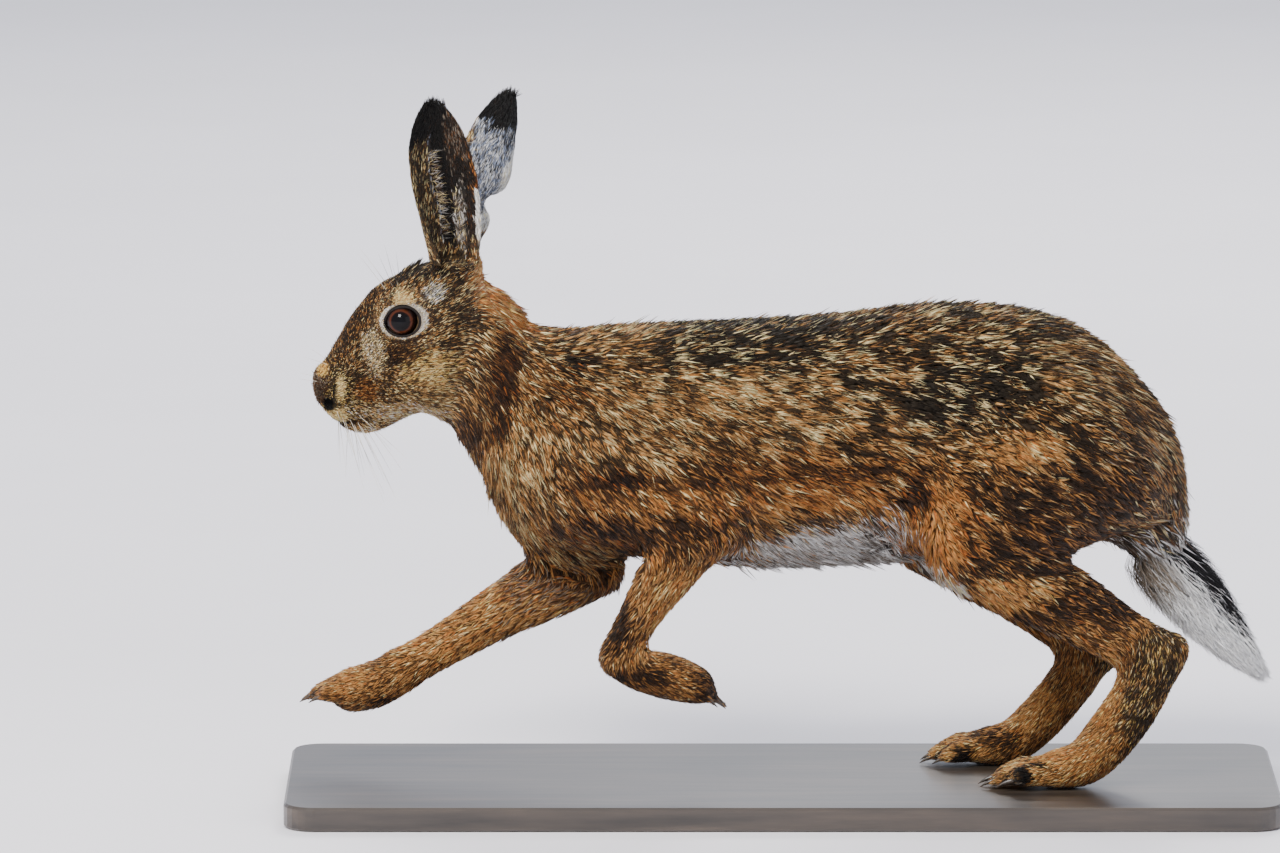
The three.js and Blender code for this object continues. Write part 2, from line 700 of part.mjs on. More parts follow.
function addNode(name, solid, finish) {
  const mesh = new THREE.Mesh(geometryOf(largest(solid)), finishes[finish]);
  mesh.name = name;
  raised.add(mesh);
}

const sideName = (side) => (side === LEFT ? 'left' : 'right');

function addTrunk() {
  const block = { wide: 62, deep: 80 };
  const arms = [LEFT, RIGHT].map((side) => corner(armRegion(side), GAP / 2));
  const forearms = corner(
    [
      { cut: limbCuts[RIGHT].elbow, side: 1 },
      { cut: plane(0, 0, [0, 0], 8, 1), side: 1 },
    ],
    GAP / 2,
  );
  const thighs = [LEFT, RIGHT].map((side) => corner(thighRegion(side), GAP / 2));

  let neck = surface(skin, { from: [-205, 0, 250], to: [-125, 0, 190], wide: 50, deep: 70, cell: [11, 10.5, 11] });
  neck = behind(ahead(neck, cuts.nape), cuts.collar);
  addNode('neck', neck, 'coat');

  let chest = surface(skin, { from: [-185, 0, 195], to: [-10, 0, 195], ...block, cell: [15, 12, 13] });
  chest = behind(ahead(chest, cuts.collar), cuts.ribs);
  addNode('chest', [...arms, forearms].reduce((solid, piece) => solid.subtract(piece), chest), 'coat');

  let loin = surface(skin, { from: [-34, 0, 195], to: [40, 0, 195], ...block, cell: [16, 12, 13] });
  loin = behind(ahead(loin, cuts.ribs), cuts.flank);
  addNode('loin', thighs.reduce((solid, piece) => solid.subtract(piece), loin), 'coat');

  let rump = surface(skin, { from: [16, 0, 195], to: [240, 0, 195], ...block, cell: [16, 13, 14] });
  rump = behind(ahead(rump, cuts.flank), cuts.dock);
  addNode('rump', thighs.reduce((solid, piece) => solid.subtract(piece), rump), 'coat');
}

function addArm(side, arm) {
  const name = sideName(side);
  const { elbow, wrist } = limbCuts[side];
  let shoulder = surface(skin, {
    from: [-165, 36 * side, 175],
    to: [-10, 36 * side, 175],
    wide: 32,
    deep: 75,
    cell: [12, 10, 11],
  });
  shoulder = behind(shoulder, elbow).intersect(corner(armRegion(side), -GAP / 2));
  addNode(`arm_${name}`, shoulder, 'coat');

  const [top, bottom] = [arm.forearm[0], arm.forearm[arm.forearm.length - 1]];
  const reach = (row, share) => row[0] + (bottom[0] - top[0]) * share;
  const drop = (row, share) => row[2] + (bottom[2] - top[2]) * share;
  let forearm = surface(skin, {
    from: [reach(top, -0.35), top[1] * side, drop(top, -0.35)],
    to: [reach(bottom, 0.2), bottom[1] * side, drop(bottom, 0.2)],
    wide: 24,
    deep: 48,
    cell: [10, 6, 6.8],
  });
  forearm = behind(ahead(forearm, elbow), wrist);
  if (side === LEFT) forearm = behind(ahead(forearm, mirrored(cuts.armpit, side)), cuts.ribs);
  addNode(`forearm_${name}`, forearm, 'leg');

  const knuckles = FORE_TOES[side];
  const heading = side === LEFT ? 1 : -1;
  const paw = surface(skin, {
    from: [arm.paw[0][0] - 22 * heading, arm.paw[0][1] * side, arm.paw[0][2] + 8],
    to: [knuckles.tip[0] + 10 * heading, knuckles.tip[1] * side, knuckles.tip[2] - 3],
    wide: 22,
    deep: 24,
    cell: [5.8, 4.3, 5.3],
  });
  addNode(`paw_${name}`, Manifold.union([ahead(paw, wrist), ...claws(knuckles, side)]), 'leg');
}

function addLeg(side, leg) {
  const name = sideName(side);
  const { knee, hock } = limbCuts[side];
  const shift = side === LEFT ? 0 : -26;
  let thigh = surface(skin, {
    from: [55 + shift, 40 * side, 165],
    to: [242, 40 * side, 165],
    wide: 34,
    deep: 75,
    cell: [13, 11, 12],
  });
  thigh = behind(thigh, knee).intersect(corner(thighRegion(side), -GAP / 2));
  addNode(`thigh_${name}`, behind(thigh, cuts.dock), 'coat');

  const [top, bottom] = [leg.shank[0], leg.shank[leg.shank.length - 1]];
  const shank = surface(skin, {
    from: [top[0], top[1] * side, top[2]],
    to: [bottom[0] + 8, bottom[1] * side, bottom[2] - 5],
    wide: 26,
    deep: 36,
    cell: [10, 6.4, 7],
  });
  const away = new THREE.Vector3(...hock.direction);
  const place = new THREE.Vector3(...hock.point);
  const footSide = block(place.clone().addScaledVector(away, -GAP / 2).toArray(), away.clone().negate().toArray(), 130, 70);
  const shankSide = block(place.clone().addScaledVector(away, GAP / 2).toArray(), away.toArray(), 92, 70);
  const outer = ahead(ahead(shank, knee), mirrored(cuts.groin, side));
  addNode(`shank_${name}`, outer.subtract(footSide), 'leg');

  const heel = leg.heel[leg.heel.length - 1];
  const tip = HIND_TOES[side].tip;
  let foot = surface(skin, {
    from: [tip[0] - 12, 35 * side, heel[2] / 2 + 5],
    to: [heel[0] + 16, 35 * side, heel[2] / 2 + 5],
    wide: 24,
    deep: heel[2] / 2 + 22,
    cell: [7.6, 5.2, 7],
  });
  foot = ahead(foot.subtract(shankSide), plane(0, 0, [0, 1]), GAP);
  addNode(`foot_${name}`, Manifold.union([foot, ...claws(HIND_TOES[side], side)]), 'leg');
}

// The lids: a rim round the eye, a little lower at its front corner
function lidRim(side) {
  const turns = 16;
  const rings = Array.from({ length: turns }, (_, i) => {
    const angle = (i / turns) * 2 * Math.PI;
    const [long, high] = [Math.cos(angle) * LID.long, Math.sin(angle) * LID.high];
    const out = new THREE.Vector3(long / LID.long, 0, high / LID.high);
    const centre = new THREE.Vector3(EYE.x + long, 0, EYE.z + high + long * LID.slope);
    centre.y = onSkin(centre.x, centre.z, side).y + side * LID.out;
    return Array.from({ length: 5 }, (_, j) => {
      const around = (j / 5) * 2 * Math.PI;
      return centre
        .clone()
        .addScaledVector(out, Math.cos(around) * LID.thick)
        .addScaledVector(ACROSS, Math.sin(around) * LID.thick);
    });
  });
  return ringed(rings, true);
}

// The line of the mouth, as a thin tube that follows the lips from corner to corner
function mouthLine() {
  const sideways = (side) => MOUTH.map(([x, z]) => onSkin(x, z, side));
  const front = new THREE.Vector3(MOUTH_FRONT.x, 0, MOUTH_FRONT.z);
  const path = new THREE.CatmullRomCurve3([...sideways(LEFT), front, ...sideways(RIGHT).reverse()]);
  const steps = 14;
  const up = new THREE.Vector3(0, 0, 1);
  const rings = Array.from({ length: steps + 1 }, (_, i) => {
    const along = path.getTangent(i / steps);
    const out = new THREE.Vector3().crossVectors(along, up).normalize();
    const rise = new THREE.Vector3().crossVectors(out, along);
    return Array.from({ length: 4 }, (_, j) => {
      const angle = (j / 4) * 2 * Math.PI;
      return path
        .getPoint(i / steps)
        .addScaledVector(out, Math.cos(angle) * 1.6)
        .addScaledVector(rise, Math.sin(angle) * 0.7);
    });
  });
  return ringed(rings);
}

function addHead() {
  let head = surface(skin, { from: [-275, 0, 250], to: [-160, 0, 250], wide: 42, deep: 66, cell: [6.1, 5.4, 5.8] });
  head = behind(head, cuts.nape).trimByPlane([0, 0, -1], GAP / 2 - EAR_CUT);
  head = head.add(lidRim(LEFT)).add(lidRim(RIGHT)).subtract(mouthLine());
  const cleft = new THREE.BoxGeometry(13, 1.3, 5).rotateY(THREE.MathUtils.degToRad(47)).translate(-260, 0, 212.5);
  head = head.subtract(solidOf(cleft));
  for (const side of [LEFT, RIGHT]) {
    const nostril = new THREE.SphereGeometry(1, 10, 6).scale(4.6, 2.6, 3.2).rotateY(THREE.MathUtils.degToRad(40));
    nostril.translate(...onSkin(NOSTRIL.x, NOSTRIL.z, side).toArray()).translate(0, -0.6 * side, 0);
    head = head.subtract(solidOf(nostril));
    const socket = new THREE.SphereGeometry(EYE.radius + GAP, 14, 9).translate(EYE.x, EYE.y * side, EYE.z);
    head = head.subtract(solidOf(socket));
    const eye = new THREE.SphereGeometry(EYE.radius, 14, 9).translate(EYE.x, EYE.y * side, EYE.z);
    addNode(`eye_${sideName(side)}`, solidOf(eye), 'eye');
  }
  addNode('head', head, 'coat');
}

// A leaf of cupped sections along a spine, cut off flat at the root
function addEar(side, stations) {
  const across = 7;
  const along = 3 * (stations.length - 1);
  const spine = new THREE.CatmullRomCurve3(stations.map(([x, y, z]) => new THREE.Vector3(x, y, z)));
  const shapes = [3, 5].map((column) =>
    new THREE.CatmullRomCurve3(stations.map((row) => new THREE.Vector3(row[column], row[column + 1] ?? 0, row[6]))),
  );
  const rings = [];
  for (let i = 0; i <= along; i += i < 3 ? 3 : 2) {
    const t = Math.min(i / along, 1);
    const [centre, up] = [spine.getPoint(t), spine.getTangent(t)];
    const [{ x: width, y: angle, z: turn }, { x: wall }] = shapes.map((curve) => curve.getPoint(t));
    const yaw = THREE.MathUtils.degToRad(turn);
    const open = new THREE.Vector3(Math.sin(yaw), side * Math.cos(yaw), 0);
    open.addScaledVector(up, -open.dot(up)).normalize();
    const sideways = new THREE.Vector3().crossVectors(open, up);
    const half = THREE.MathUtils.degToRad(angle);
    const radius = width / 2 / Math.sin(Math.min(half, Math.PI / 2));
    const ring = [];
    for (let j = 0; j < 2 * (across + 1); j++) {
      const inner = j > across;
      const share = inner ? 1 - (2 * (j - across - 1)) / across : (2 * j) / across - 1;
      const phi = half * share;
      const r = inner ? radius - wall * (1 - 0.45 * share * share) : radius;
      const rise = (radius * (1 + Math.cos(half))) / 2 - r * Math.cos(phi);
      ring.push(centre.clone().addScaledVector(open, rise).addScaledVector(sideways, r * Math.sin(phi)));
    }
    rings.push(ring);
  }
  const leaf = ringed(rings).trimByPlane([0, 0, 1], EAR_CUT + GAP / 2);
  addNode(`ear_${sideName(side)}`, leaf, 'ear');
}

// Long hair in flat locks that leave a slim core, lie back along it and reach the coat's outline
function tailLocks() {
  const { rows, first, last, reach, width, thick, seed } = TAIL_LOCKS;
  const random = seeded(seed);
  const vary = (share) => 1 + (random() - 0.5) * 2 * share;
  const at = (stations, column) => {
    const curve = new THREE.CatmullRomCurve3(stations.map((row) => new THREE.Vector3(...row.slice(column, column + 3))));
    return (t) => curve.getPoint(Math.min(t, 1));
  };
  const line = at(TAIL, 0);
  const outer = at(TAIL_COAT, 0);
  const sizes = (stations) => at(stations.map((row) => [row[3], row[4], 0]), 0);
  const [coreSize, coatSize] = [sizes(TAIL), sizes(TAIL_COAT)];
  const along = outer(1).sub(outer(0)).normalize();
  const forward = new THREE.Vector3().crossVectors(ACROSS, along);
  const locks = [];
  rows.forEach((count, row) => {
    const t = first + ((last - first) * row) / (rows.length - 1);
    for (let i = 0; i < count; i++) {
      const angle = ((i + (row % 2) / 2) / count) * 2 * Math.PI + (random() - 0.5) * 0.3;
      const around = (size) =>
        forward.clone().multiplyScalar(Math.sin(angle) * size.x).addScaledVector(ACROSS, Math.cos(angle) * size.y);
      const far = Math.min(t + reach * vary(0.15), 1);
      const near = t + (far - t) * 0.45;
      const start = line(t).add(around(coreSize(t)).multiplyScalar(0.7));
      const middle = outer(near).add(around(coatSize(near)).multiplyScalar(1.02 * vary(0.04)));
      const end = outer(far).add(around(coatSize(far)).multiplyScalar(vary(0.08)));
      const path = new THREE.QuadraticBezierCurve3(start, middle, end);
      locks.push(blade(path, around({ x: 1, y: 1 }), { width: width * vary(0.2), thick: thick * 2 }));
    }
  });
  return locks;
}

function addTail() {
  const core = surface(skin, { from: [195, 0, 165], to: [262, 0, 73], wide: 30, deep: 34, cell: [8, 6, 6.5] });
  addNode('tail', ahead(Manifold.union([core, ...tailLocks()]), cuts.dock), 'tail');
}

function addBoard() {
  const { length, width, thick, corner: r, edge } = BOARD;
  const [x, y] = [length / 2 - edge, width / 2 - edge];
  const outline = new THREE.Shape();
  outline.absarc(x - r, y - r, r, 0, Math.PI / 2);
  outline.absarc(r - x, y - r, r, Math.PI / 2, Math.PI);
  outline.absarc(r - x, r - y, r, Math.PI, Math.PI * 1.5);
  outline.absarc(x - r, r - y, r, Math.PI * 1.5, Math.PI * 2);
  const board = new THREE.ExtrudeGeometry(outline, {
    depth: thick - 2 * edge,
    bevelThickness: edge,
    bevelSize: edge,
    bevelSegments: 1,
    curveSegments: 3,
  });
  const mesh = new THREE.Mesh(board.translate(0, 0, edge), finishes.board);
  mesh.name = 'stand_board';
  group.add(mesh);
}

addTrunk();
addHead();
addEar(LEFT, LEFT_EAR);
addEar(RIGHT, RIGHT_EAR);
addArm(LEFT, LEFT_ARM);
addArm(RIGHT, RIGHT_ARM);
addLeg(LEFT, LEFT_LEG);
addLeg(RIGHT, RIGHT_LEG);
addTail();
addBoard();

export default group;
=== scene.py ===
import math

import bmesh
import bpy
import numpy as np
from mathutils import Matrix, Vector
from mathutils.bvhtree import BVHTree
from mathutils.kdtree import KDTree


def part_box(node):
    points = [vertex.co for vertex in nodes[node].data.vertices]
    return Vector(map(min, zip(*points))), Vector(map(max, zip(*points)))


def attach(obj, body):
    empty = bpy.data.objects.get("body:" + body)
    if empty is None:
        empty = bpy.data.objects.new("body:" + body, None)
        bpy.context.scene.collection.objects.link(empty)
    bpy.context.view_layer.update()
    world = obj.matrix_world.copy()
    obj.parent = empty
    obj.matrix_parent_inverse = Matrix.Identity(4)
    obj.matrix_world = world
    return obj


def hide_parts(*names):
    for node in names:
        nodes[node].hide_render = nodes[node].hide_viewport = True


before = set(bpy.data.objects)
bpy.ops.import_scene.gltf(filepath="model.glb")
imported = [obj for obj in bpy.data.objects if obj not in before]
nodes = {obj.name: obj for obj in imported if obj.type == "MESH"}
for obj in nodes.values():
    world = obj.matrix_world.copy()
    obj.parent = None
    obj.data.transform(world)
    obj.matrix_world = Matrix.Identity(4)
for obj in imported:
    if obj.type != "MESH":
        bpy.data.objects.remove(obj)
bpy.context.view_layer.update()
mm = 0.001
boardTop = 14

# Camera, light and floor

view = {
    "distance": 6.0, "elevation": 9.5, "target": (-0.0812, 0, 0.2166), "width": 0.7296, "sensor": 36,
    "clipEnd": 60,
}
studio = {
    "floor": (0.82, 0.80, 0.84),
    "floorSize": 16,
    "sky": (0.82, 0.87, 1.0),
    "skyStrength": 1.0,
    # name, place, aim, size, watts, colour
    "lamps": [
        ("key", (-1.3, -2.2, 2.6), (0, 0, 0.2), 1.1, 215, (1.0, 0.96, 0.90)),
        ("fill", (2.4, -2.6, 1.2), (0, 0, 0.2), 2.4, 24, (0.93, 0.96, 1.0)),
        ("rim", (0.6, 2.6, 2.4), (0, 0, 0.25), 1.6, 100, (1.0, 0.98, 0.96)),
    ],
}


def newObject(name, content):
    thing = bpy.data.objects.new(name, content)
    bpy.context.scene.collection.objects.link(thing)
    return thing


def placeCamera():
    lift = math.radians(view["elevation"])
    back = Vector((0, -math.cos(lift), math.sin(lift)))
    camera = newObject("camera", bpy.data.cameras.new("camera"))
    camera.location = Vector(view["target"]) + back * view["distance"]
    camera.rotation_euler = back.to_track_quat("Z", "Y").to_euler()
    camera.data.sensor_width = view["sensor"]
    camera.data.lens = view["sensor"] * view["distance"] / view["width"]
    camera.data.clip_end = view["clipEnd"]
    bpy.context.scene.camera = camera


def lightStudio():
    for name, place, aim, size, watts, colour in studio["lamps"]:
        lamp = bpy.data.lights.new(name, "AREA")
        lamp.size = size
        lamp.energy = watts
        lamp.color = colour
        holder = newObject(name, lamp)
        holder.location = place
        holder.rotation_euler = (Vector(place) - Vector(aim)).to_track_quat("Z", "Y").to_euler()
    world = bpy.data.worlds.new("sky")
    world.use_nodes = True
    background = world.node_tree.nodes["Background"]
    background.inputs["Color"].default_value = (*studio["sky"], 1)
    background.inputs["Strength"].default_value = studio["skyStrength"]
    bpy.context.scene.world = world


# Materials


def newMaterial(name, roughness):
    material = bpy.data.materials.new(name)
    material.use_nodes = True
    shader = material.node_tree.nodes["Principled BSDF"]
    shader.inputs["Roughness"].default_value = roughness
    return material, material.node_tree, shader


def addNode(tree, kind, **settings):
    node = tree.nodes.new(kind)
    for key, value in settings.items():
        if hasattr(node, key):
            setattr(node, key, value)
        else:
            node.inputs[key.replace("_", " ")].default_value = value
    return node


def addRamp(tree, factor, stops):
    # a ramp of (place, colour) stops
    ramp = addNode(tree, "ShaderNodeValToRGB")
    while len(ramp.color_ramp.elements) < len(stops):
        ramp.color_ramp.elements.new(0.5)
    for element, (place, colour) in zip(ramp.color_ramp.elements, stops):
        element.position = place
        element.color = (*colour, 1)
    tree.links.new(factor, ramp.inputs["Fac"])
    return ramp.outputs["Color"]


def noiseColour(tree, scale, stops, detail, stretch=None):
    # a noise pattern on Object coordinates, and its colours
    vector = addNode(tree, "ShaderNodeTexCoord").outputs["Object"]
    if stretch:
        mapping = addNode(tree, "ShaderNodeMapping", Scale=stretch)
        tree.links.new(vector, mapping.inputs["Vector"])
        vector = mapping.outputs["Vector"]
    pattern = addNode(tree, "ShaderNodeTexNoise", Scale=scale, Detail=detail, Roughness=0.6)
    tree.links.new(vector, pattern.inputs["Vector"])
    return pattern.outputs["Fac"], addRamp(tree, pattern.outputs["Fac"], stops)


def grainMaterial(name, roughness, scale, stops, detail, stretch=None):
    # a material whose colour is a noise pattern
    material, tree, shader = newMaterial(name, roughness)
    height, colour = noiseColour(tree, scale, stops, detail, stretch)
    tree.links.new(colour, shader.inputs["Base Color"])
    return material, tree, shader, height


def addBump(tree, shader, height, strength, distance):
    bump = addNode(tree, "ShaderNodeBump", Strength=strength, Distance=distance)
    tree.links.new(height, bump.inputs["Height"])
    tree.links.new(bump.outputs["Normal"], shader.inputs["Normal"])


def paintedMaterial(name, roughness, grain, sheen=0.0):
    # takes its colour from the mesh's own colours, with a fine grain over them
    material, tree, shader = newMaterial(name, roughness)
    own = addNode(tree, "ShaderNodeAttribute", attribute_name="coatColour")
    height, shade = noiseColour(tree, grain, [(0.3, (0.72, 0.72, 0.72)), (0.7, (1, 1, 1))], 3.0)
    mix = addNode(tree, "ShaderNodeMix", data_type="RGBA", blend_type="MULTIPLY")
    mix.inputs["Factor"].default_value = 1.0
    tree.links.new(own.outputs["Color"], mix.inputs["A"])
    tree.links.new(shade, mix.inputs["B"])
    tree.links.new(mix.outputs["Result"], shader.inputs["Base Color"])
    shader.inputs["Specular IOR Level"].default_value = 0.15
    shader.inputs["Sheen Weight"].default_value = sheen
    shader.inputs["Sheen Roughness"].default_value = 0.4
    return material, tree, shader, height


def newPiece(name, mesh, material):
    piece = newObject(name, mesh)
    mesh.materials.append(material)
    mesh.shade_smooth()
    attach(piece, "root")
    return piece


def toMesh(work, name):
    mesh = bpy.data.meshes.new(name)
    work.to_mesh(mesh)
    work.free()
    return mesh


# The skin

fleshNodes = {
    # node: depth of the coat over the skin, length of its tufts, their width, markings it follows
    "neck": (4.2, 12, 0.75, "body"),
    "chest": (4.6, 12, 0.75, "body"),
    "loin": (4.6, 12, 0.75, "body"),
    "rump": (4.8, 12, 0.75, "body"),
    "head": (1.6, 5.5, 0.42, "head"),
    "ear_left": (0.5, 4.4, 0.34, "ear_left"),
    "ear_right": (0.5, 4.4, 0.34, "ear_right"),
    "arm_left": (3.4, 10, 0.7, "arm"),
    "forearm_left": (1.8, 7, 0.5, "foreleg"),
    "paw_left": (1.3, 5, 0.42, "foreleg"),
    "arm_right": (3.4, 10, 0.7, "arm"),
    "forearm_right": (1.8, 7, 0.5, "foreleg"),
    "paw_right": (1.3, 5, 0.42, "foreleg"),
    "thigh_left": (3.8, 10, 0.7, "thigh"),
    "shank_left": (2.2, 8, 0.55, "hindleg"),
    "foot_left": (1.3, 5, 0.42, "hindleg"),
    "thigh_right": (3.8, 10, 0.7, "thigh"),
    "shank_right": (2.2, 8, 0.55, "hindleg"),
    "foot_right": (1.3, 5, 0.42, "hindleg"),
}
flesh = list(fleshNodes)
tailRow = (1.5, 12, 1.0, "tail")
groups = ["head", "body", "ear_left", "ear_right", "arm", "foreleg", "thigh", "hindleg", "tail"]
# The tail's core, as balls along its bone: x, z, radius
tailCore = [
    (207, 160, 15), (215, 149, 13), (223, 138, 11), (231, 126, 9), (238, 116, 7.5), (245, 107, 6),
    (251, 99, 4.5),
]
# The skin keeps all its triangles in front of bareX and above bareZ. Rounds of smoothing even out the
# coat's measures (spread), the groups' edges (blend) and the lie (comb). Behind tailX, below tailZ and
# within tailSide of the middle the skin is the tail's.
skinMake = {
    "weld": 0.01, "swell": 0.25, "voxel": 1.35, "smoothing": 3, "triangles": 150000, "bareX": -172,
    "bareZ": 205, "spread": 14, "blend": 60, "comb": 40, "tailX": 203, "tailZ": 168, "tailSide": 17,
}


def fetch(items, key, width, kind=float):
    values = np.empty(len(items) * width, kind)
    items.foreach_get(key, values)
    return values.reshape(-1, width)


def meshArrays(mesh):
    # points, point normals and triangles of a mesh of triangles
    corners = fetch(mesh.loops, "vertex_index", 1, np.int64)
    return fetch(mesh.vertices, "co", 3), fetch(mesh.vertex_normals, "vector", 3), corners.reshape(-1, 3)


def unit(vectors):
    return vectors / np.maximum(np.linalg.norm(vectors, axis=-1, keepdims=True), 1e-12)


def applyModifiers(piece):
    seen = piece.evaluated_get(bpy.context.evaluated_depsgraph_get())
    mesh = bpy.data.meshes.new_from_object(seen)
    piece.modifiers.clear()
    old = piece.data
    piece.data = mesh
    bpy.data.meshes.remove(old)


def fleshCopy():
    # every node of flesh, merged and swollen a little so that they overlap across their cuts
    body = bmesh.new()
    owners = []
    for index, name in enumerate(fleshNodes):
        part = bmesh.new()
        part.from_mesh(nodes[name].data)
        bmesh.ops.remove_doubles(part, verts=part.verts, dist=skinMake["weld"] * mm)
        part.normal_update()
        for vert in part.verts:
            vert.co += vert.normal * skinMake["swell"] * mm
        joined = toMesh(part, "part")
        body.from_mesh(joined)
        owners += [index] * len(joined.polygons)
        bpy.data.meshes.remove(joined)
    finder = BVHTree.FromBMesh(body)
    for x, z, radius in tailCore:
        place = Matrix.Translation((x * mm, 0, z * mm))
        bmesh.ops.create_icosphere(body, subdivisions=3, radius=radius * mm, matrix=place)
    return body, finder, np.array(owners)


def neighbours(triangles):
    edges = np.sort(triangles[:, [0, 1, 1, 2, 2, 0]].reshape(-1, 2), axis=1)
    return np.unique(edges, axis=0)


def spread(values, edges, rounds):
    # smooths values over the mesh: each point moves half way to the mean of its neighbours
    values = values.reshape(len(values), -1)
    a, b = edges.T
    size = len(values)
    count = np.maximum(np.bincount(a, minlength=size) + np.bincount(b, minlength=size), 1)
    for _ in range(rounds):
        mean = np.empty_like(values)
        for k in range(values.shape[1]):
            total = np.bincount(a, values[b, k], size) + np.bincount(b, values[a, k], size)
            mean[:, k] = total / count
        values = 0.5 * (values + mean)
    return values if values.shape[1] > 1 else values[:, 0]


def makeSkin():
    body, finder, owners = fleshCopy()
    skin = newObject("skin", toMesh(body, "skin"))
    remesh = skin.modifiers.new("remesh", "REMESH")
    remesh.mode = "VOXEL"
    remesh.voxel_size = skinMake["voxel"] * mm
    applyModifiers(skin)
    work = bmesh.new()
    work.from_mesh(skin.data)
    bmesh.ops.triangulate(work, faces=work.faces)
    for _ in range(skinMake["smoothing"]):
        bmesh.ops.smooth_vert(
            work, verts=work.verts, factor=0.5, use_axis_x=True, use_axis_y=True, use_axis_z=True
        )
    work.to_mesh(skin.data)
    work.free()
    print("skin remeshed:", len(skin.data.polygons), "triangles")
    return skin, finder, owners


def thinSkin(skin):
    # fewer triangles on the body, where the coat hides the skin, and all of them on the head and ears
    keep = skin.vertex_groups.new(name="body")
    inMm = fetch(skin.data.vertices, "co", 3) / mm
    bare = (inMm[:, 0] < skinMake["bareX"]) & (inMm[:, 2] > skinMake["bareZ"])
    keep.add([int(i) for i in np.nonzero(~bare)[0]], 1.0, "REPLACE")
    thin = skin.modifiers.new("thin", "DECIMATE")
    thin.vertex_group = "body"
    thin.ratio = skinMake["triangles"] / len(skin.data.polygons)
    applyModifiers(skin)
    skin.vertex_groups.clear()


# The lie of the coat

# Keys on the left side, mirrored to the right: x, y and z of a place, then x and z of the way the
# hair lies there
bodyLie = [
    (-150, 0, 292, 0.85, -0.5), (-165, -25, 262, 0.62, -0.78), (-180, -25, 228, 0.5, -0.86),
    (-160, -20, 190, 0.45, -0.89), (-165, 0, 215, 0.35, -0.93), (-140, 0, 150, 0.8, -0.6),
    (-120, -10, 268, 0.97, -0.2), (-120, -35, 245, 0.8, -0.6), (-110, -42, 205, 0.62, -0.78),
    (-60, 0, 277, 1, 0.02), (-60, -32, 262, 0.97, -0.2), (-55, -44, 230, 0.88, -0.42),
    (-60, -46, 195, 0.8, -0.55), (-55, -38, 155, 0.85, -0.5), (0, 0, 280, 1, 0.03),
    (10, -44, 240, 0.97, -0.22), (10, -47, 200, 0.93, -0.35), (10, -40, 160, 0.86, -0.5),
    (20, 0, 138, 0.97, -0.22), (-70, 0, 140, 0.95, -0.3), (80, 0, 288, 1, 0.02),
    (80, -35, 265, 0.98, -0.15), (80, -46, 225, 0.96, -0.25), (60, -44, 180, 0.75, -0.62),
    (140, 0, 287, 0.98, -0.2), (150, -45, 240, 0.86, -0.48), (185, 0, 265, 0.8, -0.6),
    (190, -38, 225, 0.62, -0.78), (215, 0, 228, 0.5, -0.86), (228, -10, 195, 0.25, -0.97),
    (205, -35, 185, 0.45, -0.89), (180, 0, 150, 0.8, -0.6), (100, 0, 142, 0.97, -0.2),
]
thighLie = [
    (75, -50, 205, 0.75, -0.66), (62, -45, 165, 0.3, -0.95), (75, -55, 140, 0.55, -0.83),
    (110, -58, 190, 0.86, -0.5), (150, -60, 215, 0.88, -0.45), (150, -58, 165, 0.9, -0.42),
    (200, -50, 180, 0.75, -0.66), (110, -55, 135, 0.85, -0.5),
]
armLie = [
    (-140, -40, 220, 0.55, -0.83), (-105, -48, 205, 0.7, -0.7), (-60, -50, 180, 0.8, -0.58),
    (-40, -50, 165, 0.6, -0.8),
]
limbLie = {
    "forearm_left": [(-50, -37, 158, -0.6, -0.8), (-90, -33, 105, -0.5, -0.86)],
    "paw_left": [(-98, -32, 88, 0.2, -0.98), (-80, -32, 82, 0.93, -0.35), (-45, -32, 72, 0.95, -0.3)],
    "arm_right": [(-140, 35, 200, 0.4, -0.9), (-105, 42, 150, 0.3, -0.95)],
    "forearm_right": [(-105, 35, 130, -0.9, -0.4), (-200, 28, 80, -0.87, -0.5)],
    "paw_right": [(-225, 26, 68, -0.9, -0.42), (-265, 25, 55, -0.98, -0.1)],
    "shank_left": [(110, -43, 145, 0.9, -0.44), (200, -36, 97, 0.88, -0.48)],
    "foot_left": [
        (212, -35, 90, -0.1, -1), (200, -35, 64, -0.5, -0.86), (175, -35, 32, -0.75, -0.66),
        (140, -35, 22, -1, -0.1),
    ],
    "shank_right": [(90, 42, 142, 0.86, -0.5), (165, 37, 92, 0.8, -0.6)],
    "foot_right": [
        (178, 35, 82, -0.1, -1), (165, 35, 60, -0.55, -0.83), (138, 35, 30, -0.75, -0.66),
        (105, 35, 22, -1, -0.1),
    ],
    "ear_left": [(-190, -20, 330, -0.08, 1)],
    "ear_right": [(-175, 24, 345, 0.5, 0.87)],
}
headFlow = {"nose": (-272, 0, 232), "eyeSpread": 16, "eyePush": 0.9}


def fromKeys(points, keys):
    table = np.array(keys, float)
    ways = np.insert(table[:, 3:], 1, 0, axis=1)
    apart = np.linalg.norm(points[:, None, :] - table[None, :, :3], axis=2) + 1.0
    return unit(apart**-4.0 @ ways)


def headLie(points):
    # away from the nose, and round the eye
    away = unit(points - np.array(headFlow["nose"]))
    eyeGap = mirrored(points) - eyeCentre
    near = np.exp(-((np.linalg.norm(eyeGap, axis=1) / headFlow["eyeSpread"]) ** 2))
    fromEye = unit(points - eyeCentre * [1, 0, 1]) * near[:, None] * headFlow["eyePush"] * [1, 0, 1]
    return unit(away + fromEye)


